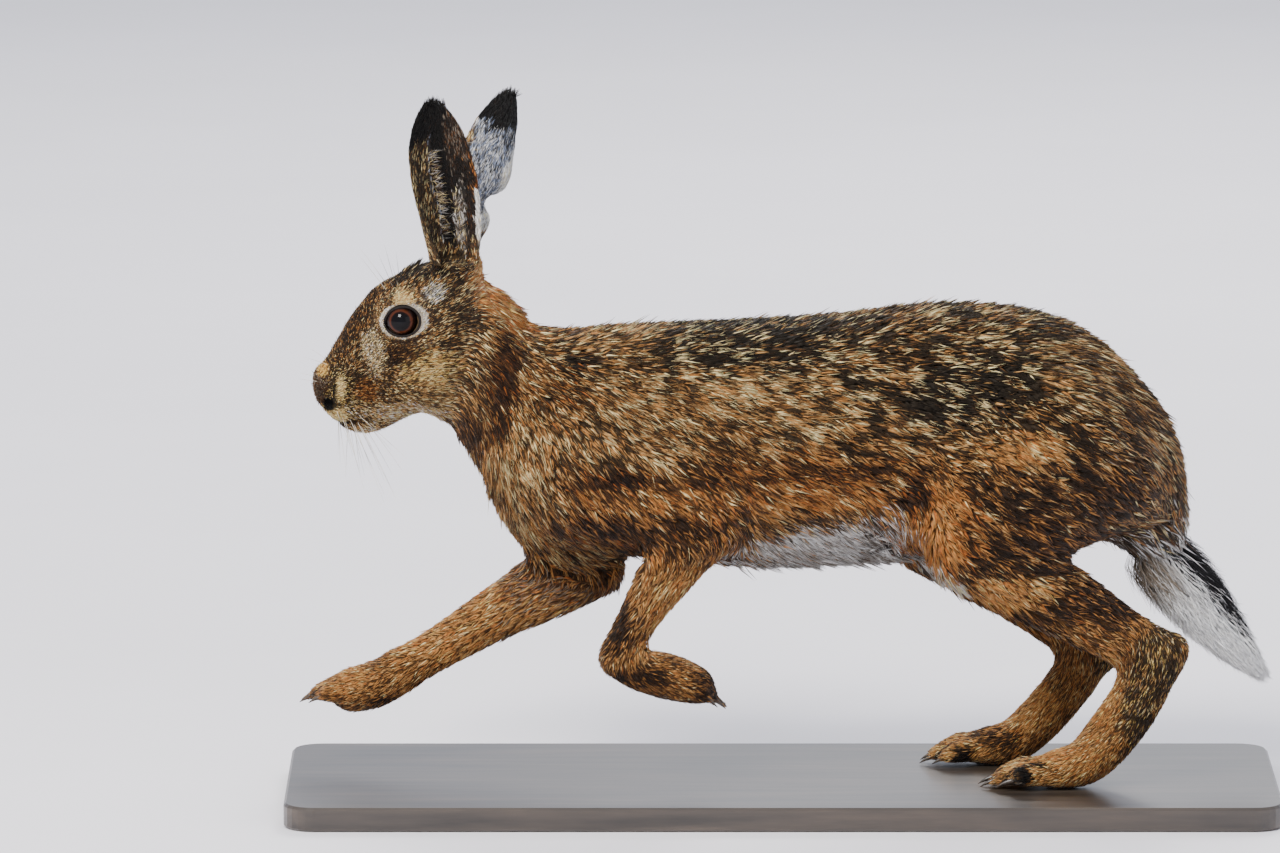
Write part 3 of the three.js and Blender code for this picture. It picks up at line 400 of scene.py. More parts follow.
def lieOfCoat(points, owner, normals, edges):
    # the way the hair lies at each point of the skin, in its tangent plane
    ways = np.zeros_like(points)
    for index, name in enumerate(fleshNodes):
        here = owner == index
        if not here.any():
            continue
        if name == "head":
            ways[here] = headLie(points[here])
        elif name in limbLie:
            ways[here] = fromKeys(points[here], limbLie[name])
        else:
            keys = armLie if name == "arm_left" else thighLie if name.startswith("thigh") else bodyLie
            ways[here] = fromKeys(mirrored(points[here]), keys)
    ways = spread(ways, edges, skinMake["comb"])
    ways -= normals * (ways * normals).sum(1, keepdims=True)
    return unit(ways)


# The markings

# Colours as they look on screen
palette = {
    "black": (0.045, 0.036, 0.032),
    "darkBrown": (0.165, 0.105, 0.06),
    "brown": (0.37, 0.235, 0.12),
    "rust": (0.69, 0.39, 0.17),
    "ochre": (0.74, 0.50, 0.26),
    "grey": (0.50, 0.46, 0.41),
    "tan": (0.77, 0.58, 0.35),
    "yellow": (0.92, 0.77, 0.44),
    "cream": (0.97, 0.86, 0.63),
    "blueGrey": (0.58, 0.63, 0.74),
    "paleGrey": (0.82, 0.80, 0.78),
    "white": (0.98, 0.97, 0.95),
}
colourNames = list(palette)
# Each mix says how many of a hundred tufts have which colour
mixes = {
    "back": dict(black=46, darkBrown=18, brown=12, ochre=5, tan=8, cream=11),
    "saddle": dict(black=64, darkBrown=16, brown=6, tan=5, cream=9),
    "shoulder": dict(black=22, darkBrown=20, brown=12, ochre=12, tan=20, cream=14),
    "upperFlank": dict(black=22, darkBrown=18, brown=10, ochre=12, tan=22, cream=16),
    "flank": dict(black=22, darkBrown=24, brown=16, ochre=14, tan=18, cream=6),
    "lowFlank": dict(black=14, darkBrown=36, brown=24, rust=6, ochre=16, tan=4),
    "bellyEdge": dict(darkBrown=16, brown=26, rust=12, ochre=38, cream=8),
    # white belly fur greyed as painted shade on the underside
    "bellyShaded": dict(grey=35, paleGrey=45, white=20),
    "nape": dict(darkBrown=6, rust=34, ochre=40, yellow=6, cream=14),
    "neckSide": dict(black=20, darkBrown=32, brown=20, rust=6, ochre=8, tan=8, cream=6),
    "dark": dict(black=72, darkBrown=20, tan=4, cream=4),
    # painted shade in the folds of the neck, the armpit and the thigh
    "creaseShade": dict(black=24, darkBrown=44, brown=24, rust=8),
    "throat": dict(black=14, darkBrown=36, brown=28, ochre=14, tan=6, cream=2),
    "breast": dict(black=8, darkBrown=18, brown=14, ochre=20, tan=24, cream=16),
    "rear": dict(black=32, darkBrown=24, brown=12, ochre=8, grey=3, tan=12, cream=9),
    "underRear": dict(black=20, darkBrown=30, brown=16, grey=22, paleGrey=6, cream=6),
    "thigh": dict(black=32, darkBrown=38, brown=14, ochre=9, tan=5, cream=2),
    "thighFront": dict(darkBrown=6, brown=12, rust=24, ochre=44, tan=14),
    "knee": dict(ochre=10, paleGrey=30, cream=30, white=30),
    "leg": dict(black=5, darkBrown=18, brown=20, rust=4, ochre=30, tan=20, cream=3),
    "golden": dict(darkBrown=6, brown=5, rust=11, ochre=36, tan=32, yellow=4, cream=6),
    # painted shade: dark patches in the folds and hollows of the legs and under them
    "legShade": dict(black=36, darkBrown=36, brown=16, ochre=12),
    # the far leg's inner side: its own browns, darkened and greyed as painted shade
    "legInnerShaded": dict(darkBrown=8, brown=36, rust=10, grey=26, tan=20),
    "hock": dict(black=38, darkBrown=28, brown=8, grey=4, tan=12, yellow=6, cream=4),
    "sole": dict(darkBrown=30, brown=40, grey=30),
    "toes": dict(darkBrown=10, brown=14, ochre=34, tan=26, yellow=6, cream=10),
    # painted shade in the grooves between the toes
    "toeGapShade": dict(black=75, darkBrown=25),
    "face": dict(black=30, darkBrown=26, brown=14, ochre=6, grey=4, tan=12, cream=8),
    "bridge": dict(black=54, darkBrown=26, brown=8, ochre=6, tan=4, cream=2),
    "crown": dict(black=72, darkBrown=16, brown=3, tan=4, cream=5),
    "temple": dict(black=42, darkBrown=28, brown=10, ochre=2, tan=9, cream=9),
    "eyeRing": dict(grey=14, tan=10, paleGrey=36, cream=24, white=16),
    "brow": dict(ochre=12, tan=22, yellow=16, cream=50),
    "browGrey": dict(black=34, darkBrown=16, grey=12, paleGrey=16, cream=12, white=10),
    "streak": dict(black=14, darkBrown=14, grey=12, tan=16, paleGrey=8, cream=30, white=6),
    "underEye": dict(black=30, darkBrown=42, brown=24, tan=4),
    "cheek": dict(black=12, darkBrown=20, brown=14, tan=20, yellow=18, cream=16),
    "jaw": dict(black=12, darkBrown=24, brown=16, tan=28, cream=20),
    "muzzle": dict(black=46, darkBrown=24, brown=10, tan=6, yellow=8, cream=6),
    "muzzleRust": dict(black=10, darkBrown=30, brown=26, rust=12, ochre=14, tan=8),
    "lip": dict(brown=6, tan=20, yellow=20, cream=54),
    "chin": dict(darkBrown=12, brown=20, tan=32, cream=26, white=10),
    "noseSide": dict(darkBrown=40, brown=36, grey=24),
    "noseTop": dict(ochre=30, yellow=50, brown=20),
    # painted shade: black inside the nostrils' dents
    "nostrilShade": dict(black=100),
    "earFront": dict(black=58, darkBrown=22, brown=6, tan=6, cream=8),
    "earBack": dict(black=36, blueGrey=30, paleGrey=10, white=24),
    "earFarFront": dict(darkBrown=40, brown=26, tan=22, cream=12),
    # painted shade: black deep in the ear's hollow
    "earHollowShade": dict(black=94, darkBrown=6),
    "earWall": dict(black=74, darkBrown=24, grey=2),
    "earUpper": dict(black=44, darkBrown=28, brown=14, grey=14),
    "earStem": dict(black=60, blueGrey=26, white=14),
    "earAmber": dict(black=24, darkBrown=34, brown=20, rust=14, ochre=8),
    "earEdge": dict(black=58, darkBrown=34, brown=6, ochre=2),
    "earRim": dict(paleGrey=25, cream=10, white=65),
    "earFold": dict(black=34, darkBrown=26, grey=16, paleGrey=18, cream=6),
    "earTip": dict(black=97, darkBrown=3),
    "tail": dict(paleGrey=15, white=85),
}
# Markings on the left side, mirrored to the right, laid over one another in this order:
# mix, centre, half sizes, softness of the edge
# Some marks paint shade: dark marks in the folds of the neck, armpit and thigh, in the legs' hollows and
# under the feet, grey on the underside, and darker on the far foreleg's inner side
bodyMarkings = [
    ("flank", (0, -45, 205), (400, 60, 60), 0.5),
    ("upperFlank", (0, -45, 238), (110, 60, 19), 0.9),
    ("shoulder", (-105, -45, 222), (44, 40, 40), 0.8),
    ("neckSide", (-140, -38, 240), (24, 30, 34), 0.8),
    ("breast", (-160, -10, 200), (40, 40, 46), 0.6),
    ("throat", (-182, -12, 222), (20, 26, 16), 0.8),
    ("lowFlank", (10, -48, 196), (90, 40, 14), 0.8),
    ("bellyEdge", (20, -42, 186), (90, 40, 9), 0.9),
    ("bellyEdge", (-56, -40, 156), (36, 30, 16), 0.8),
    ("bellyShaded", (42, 0, 136), (84, 120, 40), 0.45),
    ("bellyShaded", (110, 0, 135), (70, 24, 26), 0.5),
    ("back", (20, 0, 302), (196, 120, 52), 0.5),
    ("back", (140, 0, 270), (100, 120, 52), 0.7),
    ("shoulder", (-98, 0, 272), (30, 60, 16), 0.9),
    ("saddle", (-28, -24, 268), (54, 60, 14), 0.7),
    ("saddle", (98, -38, 244), (54, 60, 22), 0.8),
    ("nape", (-158, -4, 292), (27, 24, 22), 0.6),
    ("nape", (-118, -4, 280), (20, 12, 8), 0.8),
    ("creaseShade", (-164, -30, 256), (9, 26, 30), 0.9),
    ("dark", (-142, -24, 270), (12, 12, 6), 0.8),
    ("dark", (-122, -30, 262), (14, 12, 9), 0.9),
    ("creaseShade", (-64, -46, 178), (30, 30, 7), 0.9),
    ("creaseShade", (70, -48, 187), (14, 30, 8), 0.9),
    ("rear", (218, -15, 205), (38, 60, 50), 0.9),
    ("shoulder", (176, -20, 254), (34, 60, 20), 0.9),
    ("underRear", (195, -25, 158), (42, 36, 24), 0.7),
    ("dark", (224, -8, 160), (12, 22, 9), 0.8),
]
thighMarkings = [
    ("thigh", (130, -55, 180), (300, 60, 200), 0.3),
    ("flank", (90, -55, 226), (56, 30, 24), 0.9),
    ("rear", (195, -45, 205), (34, 40, 40), 0.9),
    ("thighFront", (78, -48, 168), (26, 30, 34), 0.8),
    ("golden", (130, -56, 216), (20, 30, 9), 0.9),
    ("legShade", (142, -56, 172), (14, 30, 9), 0.9),
    ("creaseShade", (66, -50, 188), (14, 30, 8), 0.9),
    ("thigh", (180, -52, 190), (34, 30, 20), 0.9),
    ("golden", (120, -52, 128), (40, 30, 12), 0.8),
    ("knee", (88, -40, 138), (12, 18, 12), 0.7),
    ("legShade", (164, -48, 158), (38, 20, 10), 0.9),
]
armMarkings = [
    ("lowFlank", (-90, -50, 190), (200, 60, 100), 0.3),
    ("shoulder", (-105, -50, 222), (60, 30, 24), 0.9),
    ("creaseShade", (-100, -50, 198), (22, 16, 6), 0.9),
    ("bellyEdge", (-70, -48, 184), (40, 16, 8), 0.9),
    ("legShade", (-78, -46, 168), (42, 30, 8), 0.8),
    ("breast", (-152, -35, 186), (22, 30, 30), 0.8),
]
headMarkings = [
    ("face", (-215, 0, 260), (300, 100, 100), 0.3),
    ("bridge", (-241, 0, 284), (42, 15, 42), 0.9),
    ("temple", (-186, -24, 280), (20, 16, 24), 0.8),
    ("crown", (-205, 0, 311), (40, 26, 15), 0.8),
    ("jaw", (-196, -26, 240), (26, 20, 14), 0.8),
    ("cheek", (-202, -28, 254), (17, 16, 10), 0.8),
    ("streak", (-233, -20, 262), (7, 14, 12), 0.8),
    ("underEye", (-219, -26, 262), (8.5, 12, 6.5), 0.8),
    ("muzzle", (-250, -12, 236), (14, 16, 15), 0.7),
    ("muzzleRust", (-237, -18, 240), (6.5, 10, 7.5), 0.9),
    ("chin", (-216, -14, 227), (28, 24, 8), 0.7),
    ("chin", (-244, -8, 213), (16, 20, 7), 0.7),
    ("lip", (-252.5, -10, 240), (2.6, 8, 7), 0.8),
    ("lip", (-255, -12, 225.5), (5, 8, 4), 0.9),
    ("noseSide", (-265, -5, 242), (8, 8, 11), 0.8),
    ("noseTop", (-262, -6, 250), (3.2, 6, 4), 0.9),
    ("brow", (-215.7, -22, 293), (6.2, 14, 4.4), 0.7),
    ("browGrey", (-200.5, -22, 295.5), (5.6, 14, 4.4), 1.0),
    ("nape", (-170, -4, 300), (12, 22, 22), 0.8),
    ("creaseShade", (-164, -30, 256), (9, 26, 30), 0.9),
]
# The legs differ from side to side, so these aren't mirrored
forelegMarkings = [
    ("leg", (0, 0, 60), (600, 200, 200), 0.3),
    ("golden", (-140, 30, 114), (48, 26, 14), 0.9),
    ("golden", (-192, 28, 92), (38, 26, 14), 0.9),
    ("legInnerShaded", (-112, 26, 130), (46, 22, 26), 0.9),
    ("legShade", (-232, 28, 56), (14, 18, 5), 0.9),
    ("golden", (-252, 25, 66), (18, 18, 8), 0.8),
    ("legShade", (-92, -44, 118), (9, 16, 22), 0.9),
    ("golden", (-62, -40, 128), (12, 20, 20), 0.9),
    ("legShade", (-84, -40, 80), (16, 20, 7), 0.9),
    ("legShade", (-46, -40, 74), (12, 20, 9), 0.9),
]
hindlegMarkings = [
    ("leg", (0, 0, 60), (600, 200, 200), 0.3),
    ("legShade", (168, -42, 124), (50, 30, 15), 0.9),
    ("legShade", (150, 40, 124), (40, 30, 8), 0.9),
    ("hock", (214, -38, 92), (14, 26, 22), 0.8),
    ("hock", (203, -38, 62), (11, 26, 26), 0.9),
    ("hock", (188, 38, 84), (12, 26, 18), 0.8),
    ("golden", (180, -40, 70), (12, 26, 26), 0.9),
    ("golden", (168, -36, 34), (22, 26, 14), 0.8),
    ("golden", (142, 38, 50), (18, 26, 18), 0.8),
    ("legShade", (128, 38, 30), (16, 26, 6), 0.9),
    ("toes", (140, -35, 20), (26, 30, 9), 0.8),
    ("toes", (104, 35, 20), (26, 30, 9), 0.8),
    ("toeGapShade", (139, -53, 24), (4.5, 9, 6), 0.6),
    ("toeGapShade", (149, -53, 29.5), (7, 9, 2), 0.7),
    ("toeGapShade", (106, 18, 21), (5, 9, 6), 0.7),
]
tableOf = {
    "body": bodyMarkings, "thigh": thighMarkings, "arm": armMarkings, "foreleg": forelegMarkings,
    "hindleg": hindlegMarkings,
}
# The edges of the markings waver: by how much, over what length, and a seed
edgeWobble = [(0.26, 14, 3), (0.16, 5, 4)]
# The pale ring round the eye, as shares of its opening: where it ends, how much farther at the
# corners, how softly, and how far the dark band under it reaches
eyeRing = {
    "half": (11.2, 9.2), "tilt": 10, "end": 1.03, "ends": 0.12, "edge": 0.10, "band": (0.1, 0.2, 0.25, 0.5),
}
# Dents in the muzzle of the left side, mirrored: place, half sizes, way in, depth
dents = [
    ((-259.8, -12, 231.6), (6.8, 8, 5.8), (0.45, 0.85, 0.2), 3.2),
    ((-255.6, -14, 238.5), (1.3, 8, 5), (0.2, 0.98, 0), 0.9),
    ((-261, 0, 224.5), (6, 1.3, 5.5), (1, 0, 0.1), 1.8),
]
# The line between the lips: x and z from the front backwards
mouthLine = [(-258, 219.5), (-252, 220.2), (-247, 221), (-242, 222.3), (-236, 224)]

# The rear edge of the right ear, which curls over halfway up: height, how far back it reaches
earCurl = [
    (404, -150.5), (372, -151.3), (360, -153.3), (352, -155.5), (348, -157), (344.5, -166), (338, -168),
    (334, -165.5), (328, -166.5), (320, -172.5), (313, -175),
]
# The rolled rim of that curl: where it begins and ends, and its height
earRoll = {"low": (344, 346.5), "high": (350, 354), "height": 1.3}

eyeLow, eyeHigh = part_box("eye_left")
eyeCentre = np.array(eyeLow + eyeHigh) / 2 / mm


def softNoise(points, size, seed):
    # smooth noise between -1 and 1, with blobs about as large as size
    cell = points / size + seed * 7.31
    base = np.floor(cell)
    part = cell - base
    part = part * part * (3 - 2 * part)
    total = np.zeros(len(points))
    for corner in range(8):
        step = np.array([corner & 1, corner >> 1 & 1, corner >> 2])
        key = (base + step) @ [127.1, 311.7, 74.7]
        value = np.modf(np.abs(np.sin(key) * 43758.5453))[0] * 2 - 1
        total += value * np.prod(np.where(step, part, 1 - part), axis=1)
    return total


def smoothStep(low, high, values):
    t = np.clip((values - low) / (high - low), 0, 1)
    return t * t * (3 - 2 * t)


def band(a, b, c, d, values):
    # rises from 0 to 1 between a and b, and falls back to 0 between c and d
    return smoothStep(a, b, values) * (1 - smoothStep(c, d, values))


def howFar(points, centre, half):
    # 0 at the centre of an ellipsoid, 1 on it and more outside it
    return np.linalg.norm((points - centre) / np.array(half, float), axis=1)


def mirrored(points):
    # the same points on the left side
    return np.stack([points[:, 0], -np.abs(points[:, 1]), points[:, 2]], axis=1)


def sharesOf(mix):
    row = np.array([mixes[mix].get(name, 0) / 100 for name in colourNames])
    return row / row.sum()


def overlay(shares, mix, weight):
    return shares + (sharesOf(mix) - shares) * weight[:, None]


def layMarkings(points, table, shares):
    wobble = sum(share * softNoise(points, size, seed) for share, size, seed in edgeWobble)
    for mix, centre, half, soft in table:
        away = howFar(points, centre, half) + wobble * min(1, soft * 1.4)
        shares = overlay(shares, mix, 1 - smoothStep(1 - soft / 2, 1 + soft / 2, away))
    return shares


def eyeSpot(points):
    # place round the eye's opening: 1 on its edge and more outside it, and the angle, 0 behind the eye
    tilt = math.radians(eyeRing["tilt"])
    along = points[:, 0] - eyeCentre[0]
    up = points[:, 2] - eyeCentre[2]
    a = (along * math.cos(tilt) + up * math.sin(tilt)) / eyeRing["half"][0]
    b = (up * math.cos(tilt) - along * math.sin(tilt)) / eyeRing["half"][1]
    return np.hypot(a, b), np.arctan2(b, a)


def inDent(points, dent):
    # 1 in the middle of a dent, 0 from its edge outwards
    return 1 - smoothStep(0.35, 1.0, howFar(mirrored(points), dent[0], dent[1]))


def byMouth(points):
    # 1 on the line between the lips, 0 from 1.2 mm off it
    spots = points[:, [0, 2]]
    best = np.full(len(points), np.inf)
    for a, b in zip(np.array(mouthLine[:-1]), np.array(mouthLine[1:])):
        t = np.clip(((spots - a) @ (b - a)) / ((b - a) @ (b - a)), 0, 1)
        best = np.minimum(best, np.linalg.norm(spots - a - t[:, None] * (b - a), axis=1))
    return 1 - smoothStep(0.4, 1.2, best)


def headShares(points, shares):
    shares = layMarkings(mirrored(points), headMarkings, shares)
    around, angle = eyeSpot(points)
    beside = smoothStep(8, 14, np.abs(points[:, 1]))
    end = eyeRing["end"] + eyeRing["ends"] * np.cos(angle) ** 2 + 0.06 * softNoise(points, 2.5, 6)
    ring = band(0.9, 1.0, end, end + eyeRing["edge"], around)
    under = band(*(end + reach for reach in eyeRing["band"]), around)
    under *= smoothStep(0.1, 0.6, np.cos(angle + math.radians(60)))
    shares = overlay(shares, "underEye", under * beside * 0.9)
    shares = overlay(shares, "eyeRing", ring * beside)
    # the nostrils' dents are painted black, as shade inside them
    hole = np.maximum(inDent(points, dents[0]), inDent(points, dents[1]))
    shares = overlay(shares, "nostrilShade", smoothStep(0.08, 0.3, hole))
    # the line between the lips is darkened with the under-eye mix, as painted shade in its groove
    return overlay(shares, "underEye", byMouth(points) * 0.6)


def earPlace(points, name):
    # height up the ear, place across it from its front edge to its rear edge, both 0 to 1, and the x of
    # that rear edge
    ear = fetch(nodes[name].data.vertices, "co", 3) / mm
    low, high = ear[:, 2].min(), ear[:, 2].max()
    levels = np.linspace(low, high, 14)
    slabs = [ear[np.abs(ear[:, 2] - level) < 8, 0] for level in levels]
    front = np.interp(points[:, 2], levels, [slab.min() for slab in slabs])
    rear = np.interp(points[:, 2], levels, [slab.max() for slab in slabs])
    return (points[:, 2] - low) / (high - low), (points[:, 0] - front) / np.maximum(rear - front, 1), rear


def earShares(points, normals, name):
    # the two ears are turned differently, so each shows other parts of its hollow and its back
    up, across, _ = earPlace(points, name)
    near = name == "ear_left"
    hollow = smoothStep(-0.1, 0.35, -normals[:, 1] if near else normals[:, 1])
    wobble = 0.10 * softNoise(points, 8, 5) + 0.06 * softNoise(points, 2.5, 12)
    place = across + 0.3 * wobble
    height = up + wobble
    low = 1 - smoothStep(0.38, 0.50, height)
    shares = np.repeat(sharesOf("earBack")[None], len(points), axis=0)
    if near:
        shares = overlay(shares, "earFront", 1 - smoothStep(0.26, 0.34, place))
    else:
        shares = overlay(shares, "earFarFront", 1 - smoothStep(0.10, 0.2, place))
    shares = overlay(shares, "earWall", hollow * smoothStep(0.29, 0.34, place))
    # the middle of the hollow is painted black, as shade deep in it
    shares = overlay(shares, "earHollowShade", hollow * band(0.29, 0.33, 0.50, 0.62, place))
    shares = overlay(shares, "earFold", hollow * low * band(0.54, 0.58, 0.70, 0.78, place))
    shares = overlay(shares, "earEdge", hollow * smoothStep(0.76, 0.84, place))
    if near:
        upper = hollow * smoothStep(0.58, 0.68, height) * smoothStep(0.5, 0.62, place)
        shares = overlay(shares, "earUpper", upper)
        shares = overlay(shares, "earAmber", smoothStep(0.90, 0.95, place) * smoothStep(0.2, 0.3, up))
        rim = 0.955 - 0.07 * low
        tip = smoothStep(0.86, 0.91, height + 0.16 * (1 - smoothStep(0.2, 0.5, place)))
    else:
        shares = overlay(shares, "earStem", 1 - smoothStep(0.26, 0.36, height))
        rim = 0.93 - 0.10 * (1 - smoothStep(0.36, 0.5, up)) + 0.06 * hollow
        tip = smoothStep(0.78, 0.86, height + 0.15 * across)
        tip *= smoothStep(0.08, 0.16, across + 0.3 * up - 0.15)
    shares = overlay(shares, "earRim", smoothStep(rim, rim + 0.03, place) * (1 - smoothStep(0.55, 0.66, up)))
    shares = overlay(shares, "temple", 1 - smoothStep(0.03, 0.15, height))
    return overlay(shares, "earTip", tip)


def toeGaps(points):
    # 1 in the grooves between the toes, which are painted dark as shade
    gap = np.zeros(len(points))
    for root, tip, apart, _ in toeRows.values():
        root, tip = np.array(root, float), np.array(tip, float)
        size = np.linalg.norm(tip - root)
        along = (points - root) @ ((tip - root) / size) / size
        across = (points[:, 1] - root[1]) / apart * np.sign(root[1]) + 1.5
        near = np.linalg.norm(points - (root + tip) / 2, axis=1) < 40
        between = smoothStep(0.34, 0.46, np.abs(across - np.round(across))) * (across > 0) * (across < 3)
        gap = np.maximum(gap, between * smoothStep(-0.1, 0.2, along) * near)
    return gap


def legShares(points, normals, table, shares):
    shares = layMarkings(points, table, shares)
    shares = overlay(shares, "sole", smoothStep(0.7, 0.95, -normals[:, 2]))
    return overlay(shares, "toeGapShade", toeGaps(points))


def markings(points, normals, member):
    # the share of each colour at points in millimetres, member saying how far they belong to each group
    total = np.zeros((len(points), len(colourNames)))
    for index, group in enumerate(groups):
        here = member[:, index] > 0.01
        if not here.any():
            continue
        p, n = points[here], normals[here]
        shares = np.repeat(sharesOf("tail" if group == "tail" else "flank")[None], len(p), axis=0)
        if group == "head":
            shares = headShares(p, shares)
        elif group.startswith("ear"):
            shares = earShares(p, n, group)
        elif group.endswith("leg"):
            shares = legShares(p, n, tableOf[group], shares)
        elif group != "tail":
            shares = layMarkings(mirrored(p), tableOf[group], shares)
        total[here] += shares * member[here, index, None]
    return total / total.sum(1, keepdims=True)


def linear(colour):
    return np.where(colour <= 0.04045, colour / 12.92, ((np.maximum(colour, 0.04045) + 0.055) / 1.055) ** 2.4)


paletteLinear = linear(np.array([palette[name] for name in colourNames]))


def paint(mesh, colours):
    layer = mesh.color_attributes.new("coatColour", "FLOAT_COLOR", "POINT")
    rgba = np.ones((len(colours), 4), np.float32)
    rgba[:, :3] = colours
    layer.data.foreach_set("color", rgba.ravel())


# The coat

coatMake = {
    "seed": 11,
    # each tuft has at least the first share of its place's length, width and rise, and up to the second more
    "length": (0.7, 0.55), "width": (0.65, 0.7), "rise": (0.7, 0.5),
    # how many are guard hairs, how much more they rise, how much longer they are, and their width
    "guard": 0.07, "guardRise": 0.9, "guardLength": 0.25, "guardWidth": 0.7,
    # depth of the root in the skin, place and rise of the waist, and how far it bends sideways
    "sink": 0.4, "waist": 0.45, "waistRise": 0.72, "bend": 0.05,
    # how much tufts turn, how far they leave a skin that bends away, how far and how many of them gather
    "turn": 0.2, "turnSize": 9, "stiff": 0.2, "clump": 0.5, "perClump": 11,
    # a streak of one colour: width, length and depth, and what else says which colour a tuft takes
    "streak": (2.0, 9.0, 6.0), "order": (1.3, 0.3, 0.36),
    # the tuft's own colour in its body, how bright it is, and the painted shading of root, waist and tip:
    # painted shade at the root, a painted highlight at the tip
    "own": 0.88, "bright": (0.8, 0.4), "paintedShading": (0.22, 0.72, 1.25),
    # the size of a tuft's patch in the map OFBake
    "patch": 0.0015,
}
# Each piece of the coat: its nodes, how many tufts, material slot
coatPieces = {
    "coat_face": (["head"], 44000, "coat", lambda p: p[:, 0] < -208),
    "coat_crown": (["head"], 28000, "coat", lambda p: p[:, 0] >= -208),
    "coat_neck": (["neck"], 24000, "coat", None),
    "coat_chest": (["chest"], 44500, "coat", None),
    "coat_arms": (["arm_left", "arm_right"], 19000, "coat", None),
    "coat_loin": (["loin"], 21000, "coat", None),
    "coat_rump": (["rump"], 45500, "coat", None),
    "coat_thighs": (["thigh_left", "thigh_right"], 34000, "coat", None),
    "coat_forelegs": (["forearm_left", "paw_left", "forearm_right", "paw_right"], 26000, "leg", None),
    "coat_hindlegs": (["shank_left", "foot_left", "shank_right", "foot_right"], 33000, "leg", None),
    "coat_ears": (["ear_left", "ear_right"], 29000, "ear", None),
}
# Where the coat stands out: place on the left, half sizes, how much more rise and length it has there
standing = [
    ((-158, 0, 296), (26, 16, 18), 0.9, 0.25),
    ((-118, 0, 278), (16, 12, 8), 0.8, 0.2),
    ((-215, 0, 307), (8, 6, 6), 2.6, 0.5),
    ((20, 0, 137), (80, 34, 12), 0.7, 0.5),
    ((-165, -5, 195), (26, 30, 30), 0.5, 0.2),
    ((90, -30, 140), (14, 24, 16), 0.6, 0.4),
    ((210, -10, 160), (28, 30, 16), 0.6, 0.5),
    ((185, -20, 138), (30, 26, 10), 0.6, 0.4),
    ((-196, -20, 406), (24, 40, 10), 1.1, 0.7),
    ((-160, -24, 406), (24, 20, 12), 1.1, 0.7),
    ((-148, -24, 385), (6, 20, 20), 0.8, 0.3),
]


def unwrapPatch(skin, chosen):
    # a copy of part of the skin with its own unwrap: triangles, as points of the skin, and their UVs
    work = bmesh.new()
    work.from_mesh(skin.data)
    source = work.verts.layers.int.new("source")
    for vert in work.verts:
        vert[source] = vert.index
    drop = [face for face, kept in zip(work.faces, chosen) if not kept]
    bmesh.ops.delete(work, geom=drop, context="FACES")
    mesh = toMesh(work, "patch")
    patch = newObject("patch", mesh)
    bpy.context.view_layer.objects.active = patch
    patch.select_set(True)
    mesh.uv_layers.new(name="unwrap")
    bpy.ops.object.mode_set(mode="EDIT")
    bpy.ops.mesh.select_all(action="SELECT")
    bpy.ops.uv.smart_project(angle_limit=math.radians(70), island_margin=0.003)
    bpy.ops.object.mode_set(mode="OBJECT")
    uv = fetch(mesh.uv_layers.active.uv, "vector", 2)
    origin = fetch(mesh.attributes["source"].data, "value", 1, np.int64)
    corners = fetch(mesh.loops, "vertex_index", 1, np.int64)
    bpy.data.objects.remove(patch)
    bpy.data.meshes.remove(mesh)
    return origin[corners].reshape(-1, 3), uv.reshape(-1, 3, 2)


def surfaceBelow(finder, points, fallback):
    # the nearest point of the skin and its normal there, for many points
    found = [finder.find_nearest(point)[:2] for point in points.tolist()]
    places, normals = (np.array(column) for column in zip(*found))
    flip = (normals * fallback).sum(1) < -0.2
    normals[flip] = fallback[flip]
    return places, normals


def clumpTips(tips, rng, share, perClump):
    # moves tips towards the middle of their clump, as hair gathers
    chosen = rng.permutation(len(tips))[: max(1, len(tips) // perClump)]
    tree = KDTree(len(chosen))
    for slot, index in enumerate(chosen):
        tree.insert(tips[index], slot)
    tree.balance()
    targets = np.array([tree.find(tip)[0] for tip in tips.tolist()])
    return tips + (targets - tips) * share


# A short tuft: a root, the two sides of its waist, and a tip; its faces and its places in the map
kiteFaces = [(0, 2, 1), (2, 3, 1), (0, 1, 3), (0, 3, 2)]
kiteSpots = [(-1, 0), (0, 1), (0, -1), (1, 0)]
# A long lock: a root, two rings of three points, and a tip
lockFaces = [
    (0, 2, 1), (0, 3, 2), (0, 1, 3), (1, 2, 5), (1, 5, 4), (2, 3, 6), (2, 6, 5), (3, 1, 4), (3, 4, 6),
    (4, 5, 7), (5, 6, 7), (6, 4, 7),
]
lockSpots = [(-1, 0), (-0.3, -1), (-0.3, 0), (-0.3, 1), (0.4, -1), (0.4, 0), (0.4, 1), (1, 0)]


def tuftMesh(name, points, faces, spots, colours, uv):
    # many small closed solids of the same build, points given for each as an array of tufts by points
    count, size, _ = points.shape
    triangles = (np.array(faces)[None] + (np.arange(count) * size)[:, None, None]).reshape(-1, 3)
    mesh = bpy.data.meshes.new(name)
    mesh.vertices.add(count * size)
    mesh.vertices.foreach_set("co", points.ravel())
    mesh.loops.add(len(triangles) * 3)
    mesh.loops.foreach_set("vertex_index", triangles.ravel().astype(np.int32))
    mesh.polygons.add(len(triangles))
    mesh.polygons.foreach_set("loop_start", np.arange(0, len(triangles) * 3, 3, dtype=np.int32))
    mesh.update(calc_edges=True)
    paint(mesh, np.clip(colours, 0, 0.96).reshape(-1, 3))
    # each tuft is a small patch of its own in the map, at its root's place
    places = uv[:, None] + np.array(spots, float)[None] * coatMake["patch"]
    layer = mesh.uv_layers.new(name="OFBake")
    layer.uv.foreach_set("vector", places.reshape(-1, 2)[triangles.ravel()].ravel())
    return mesh


def dot(a, b):
    return (a * b).sum(1, keepdims=True)


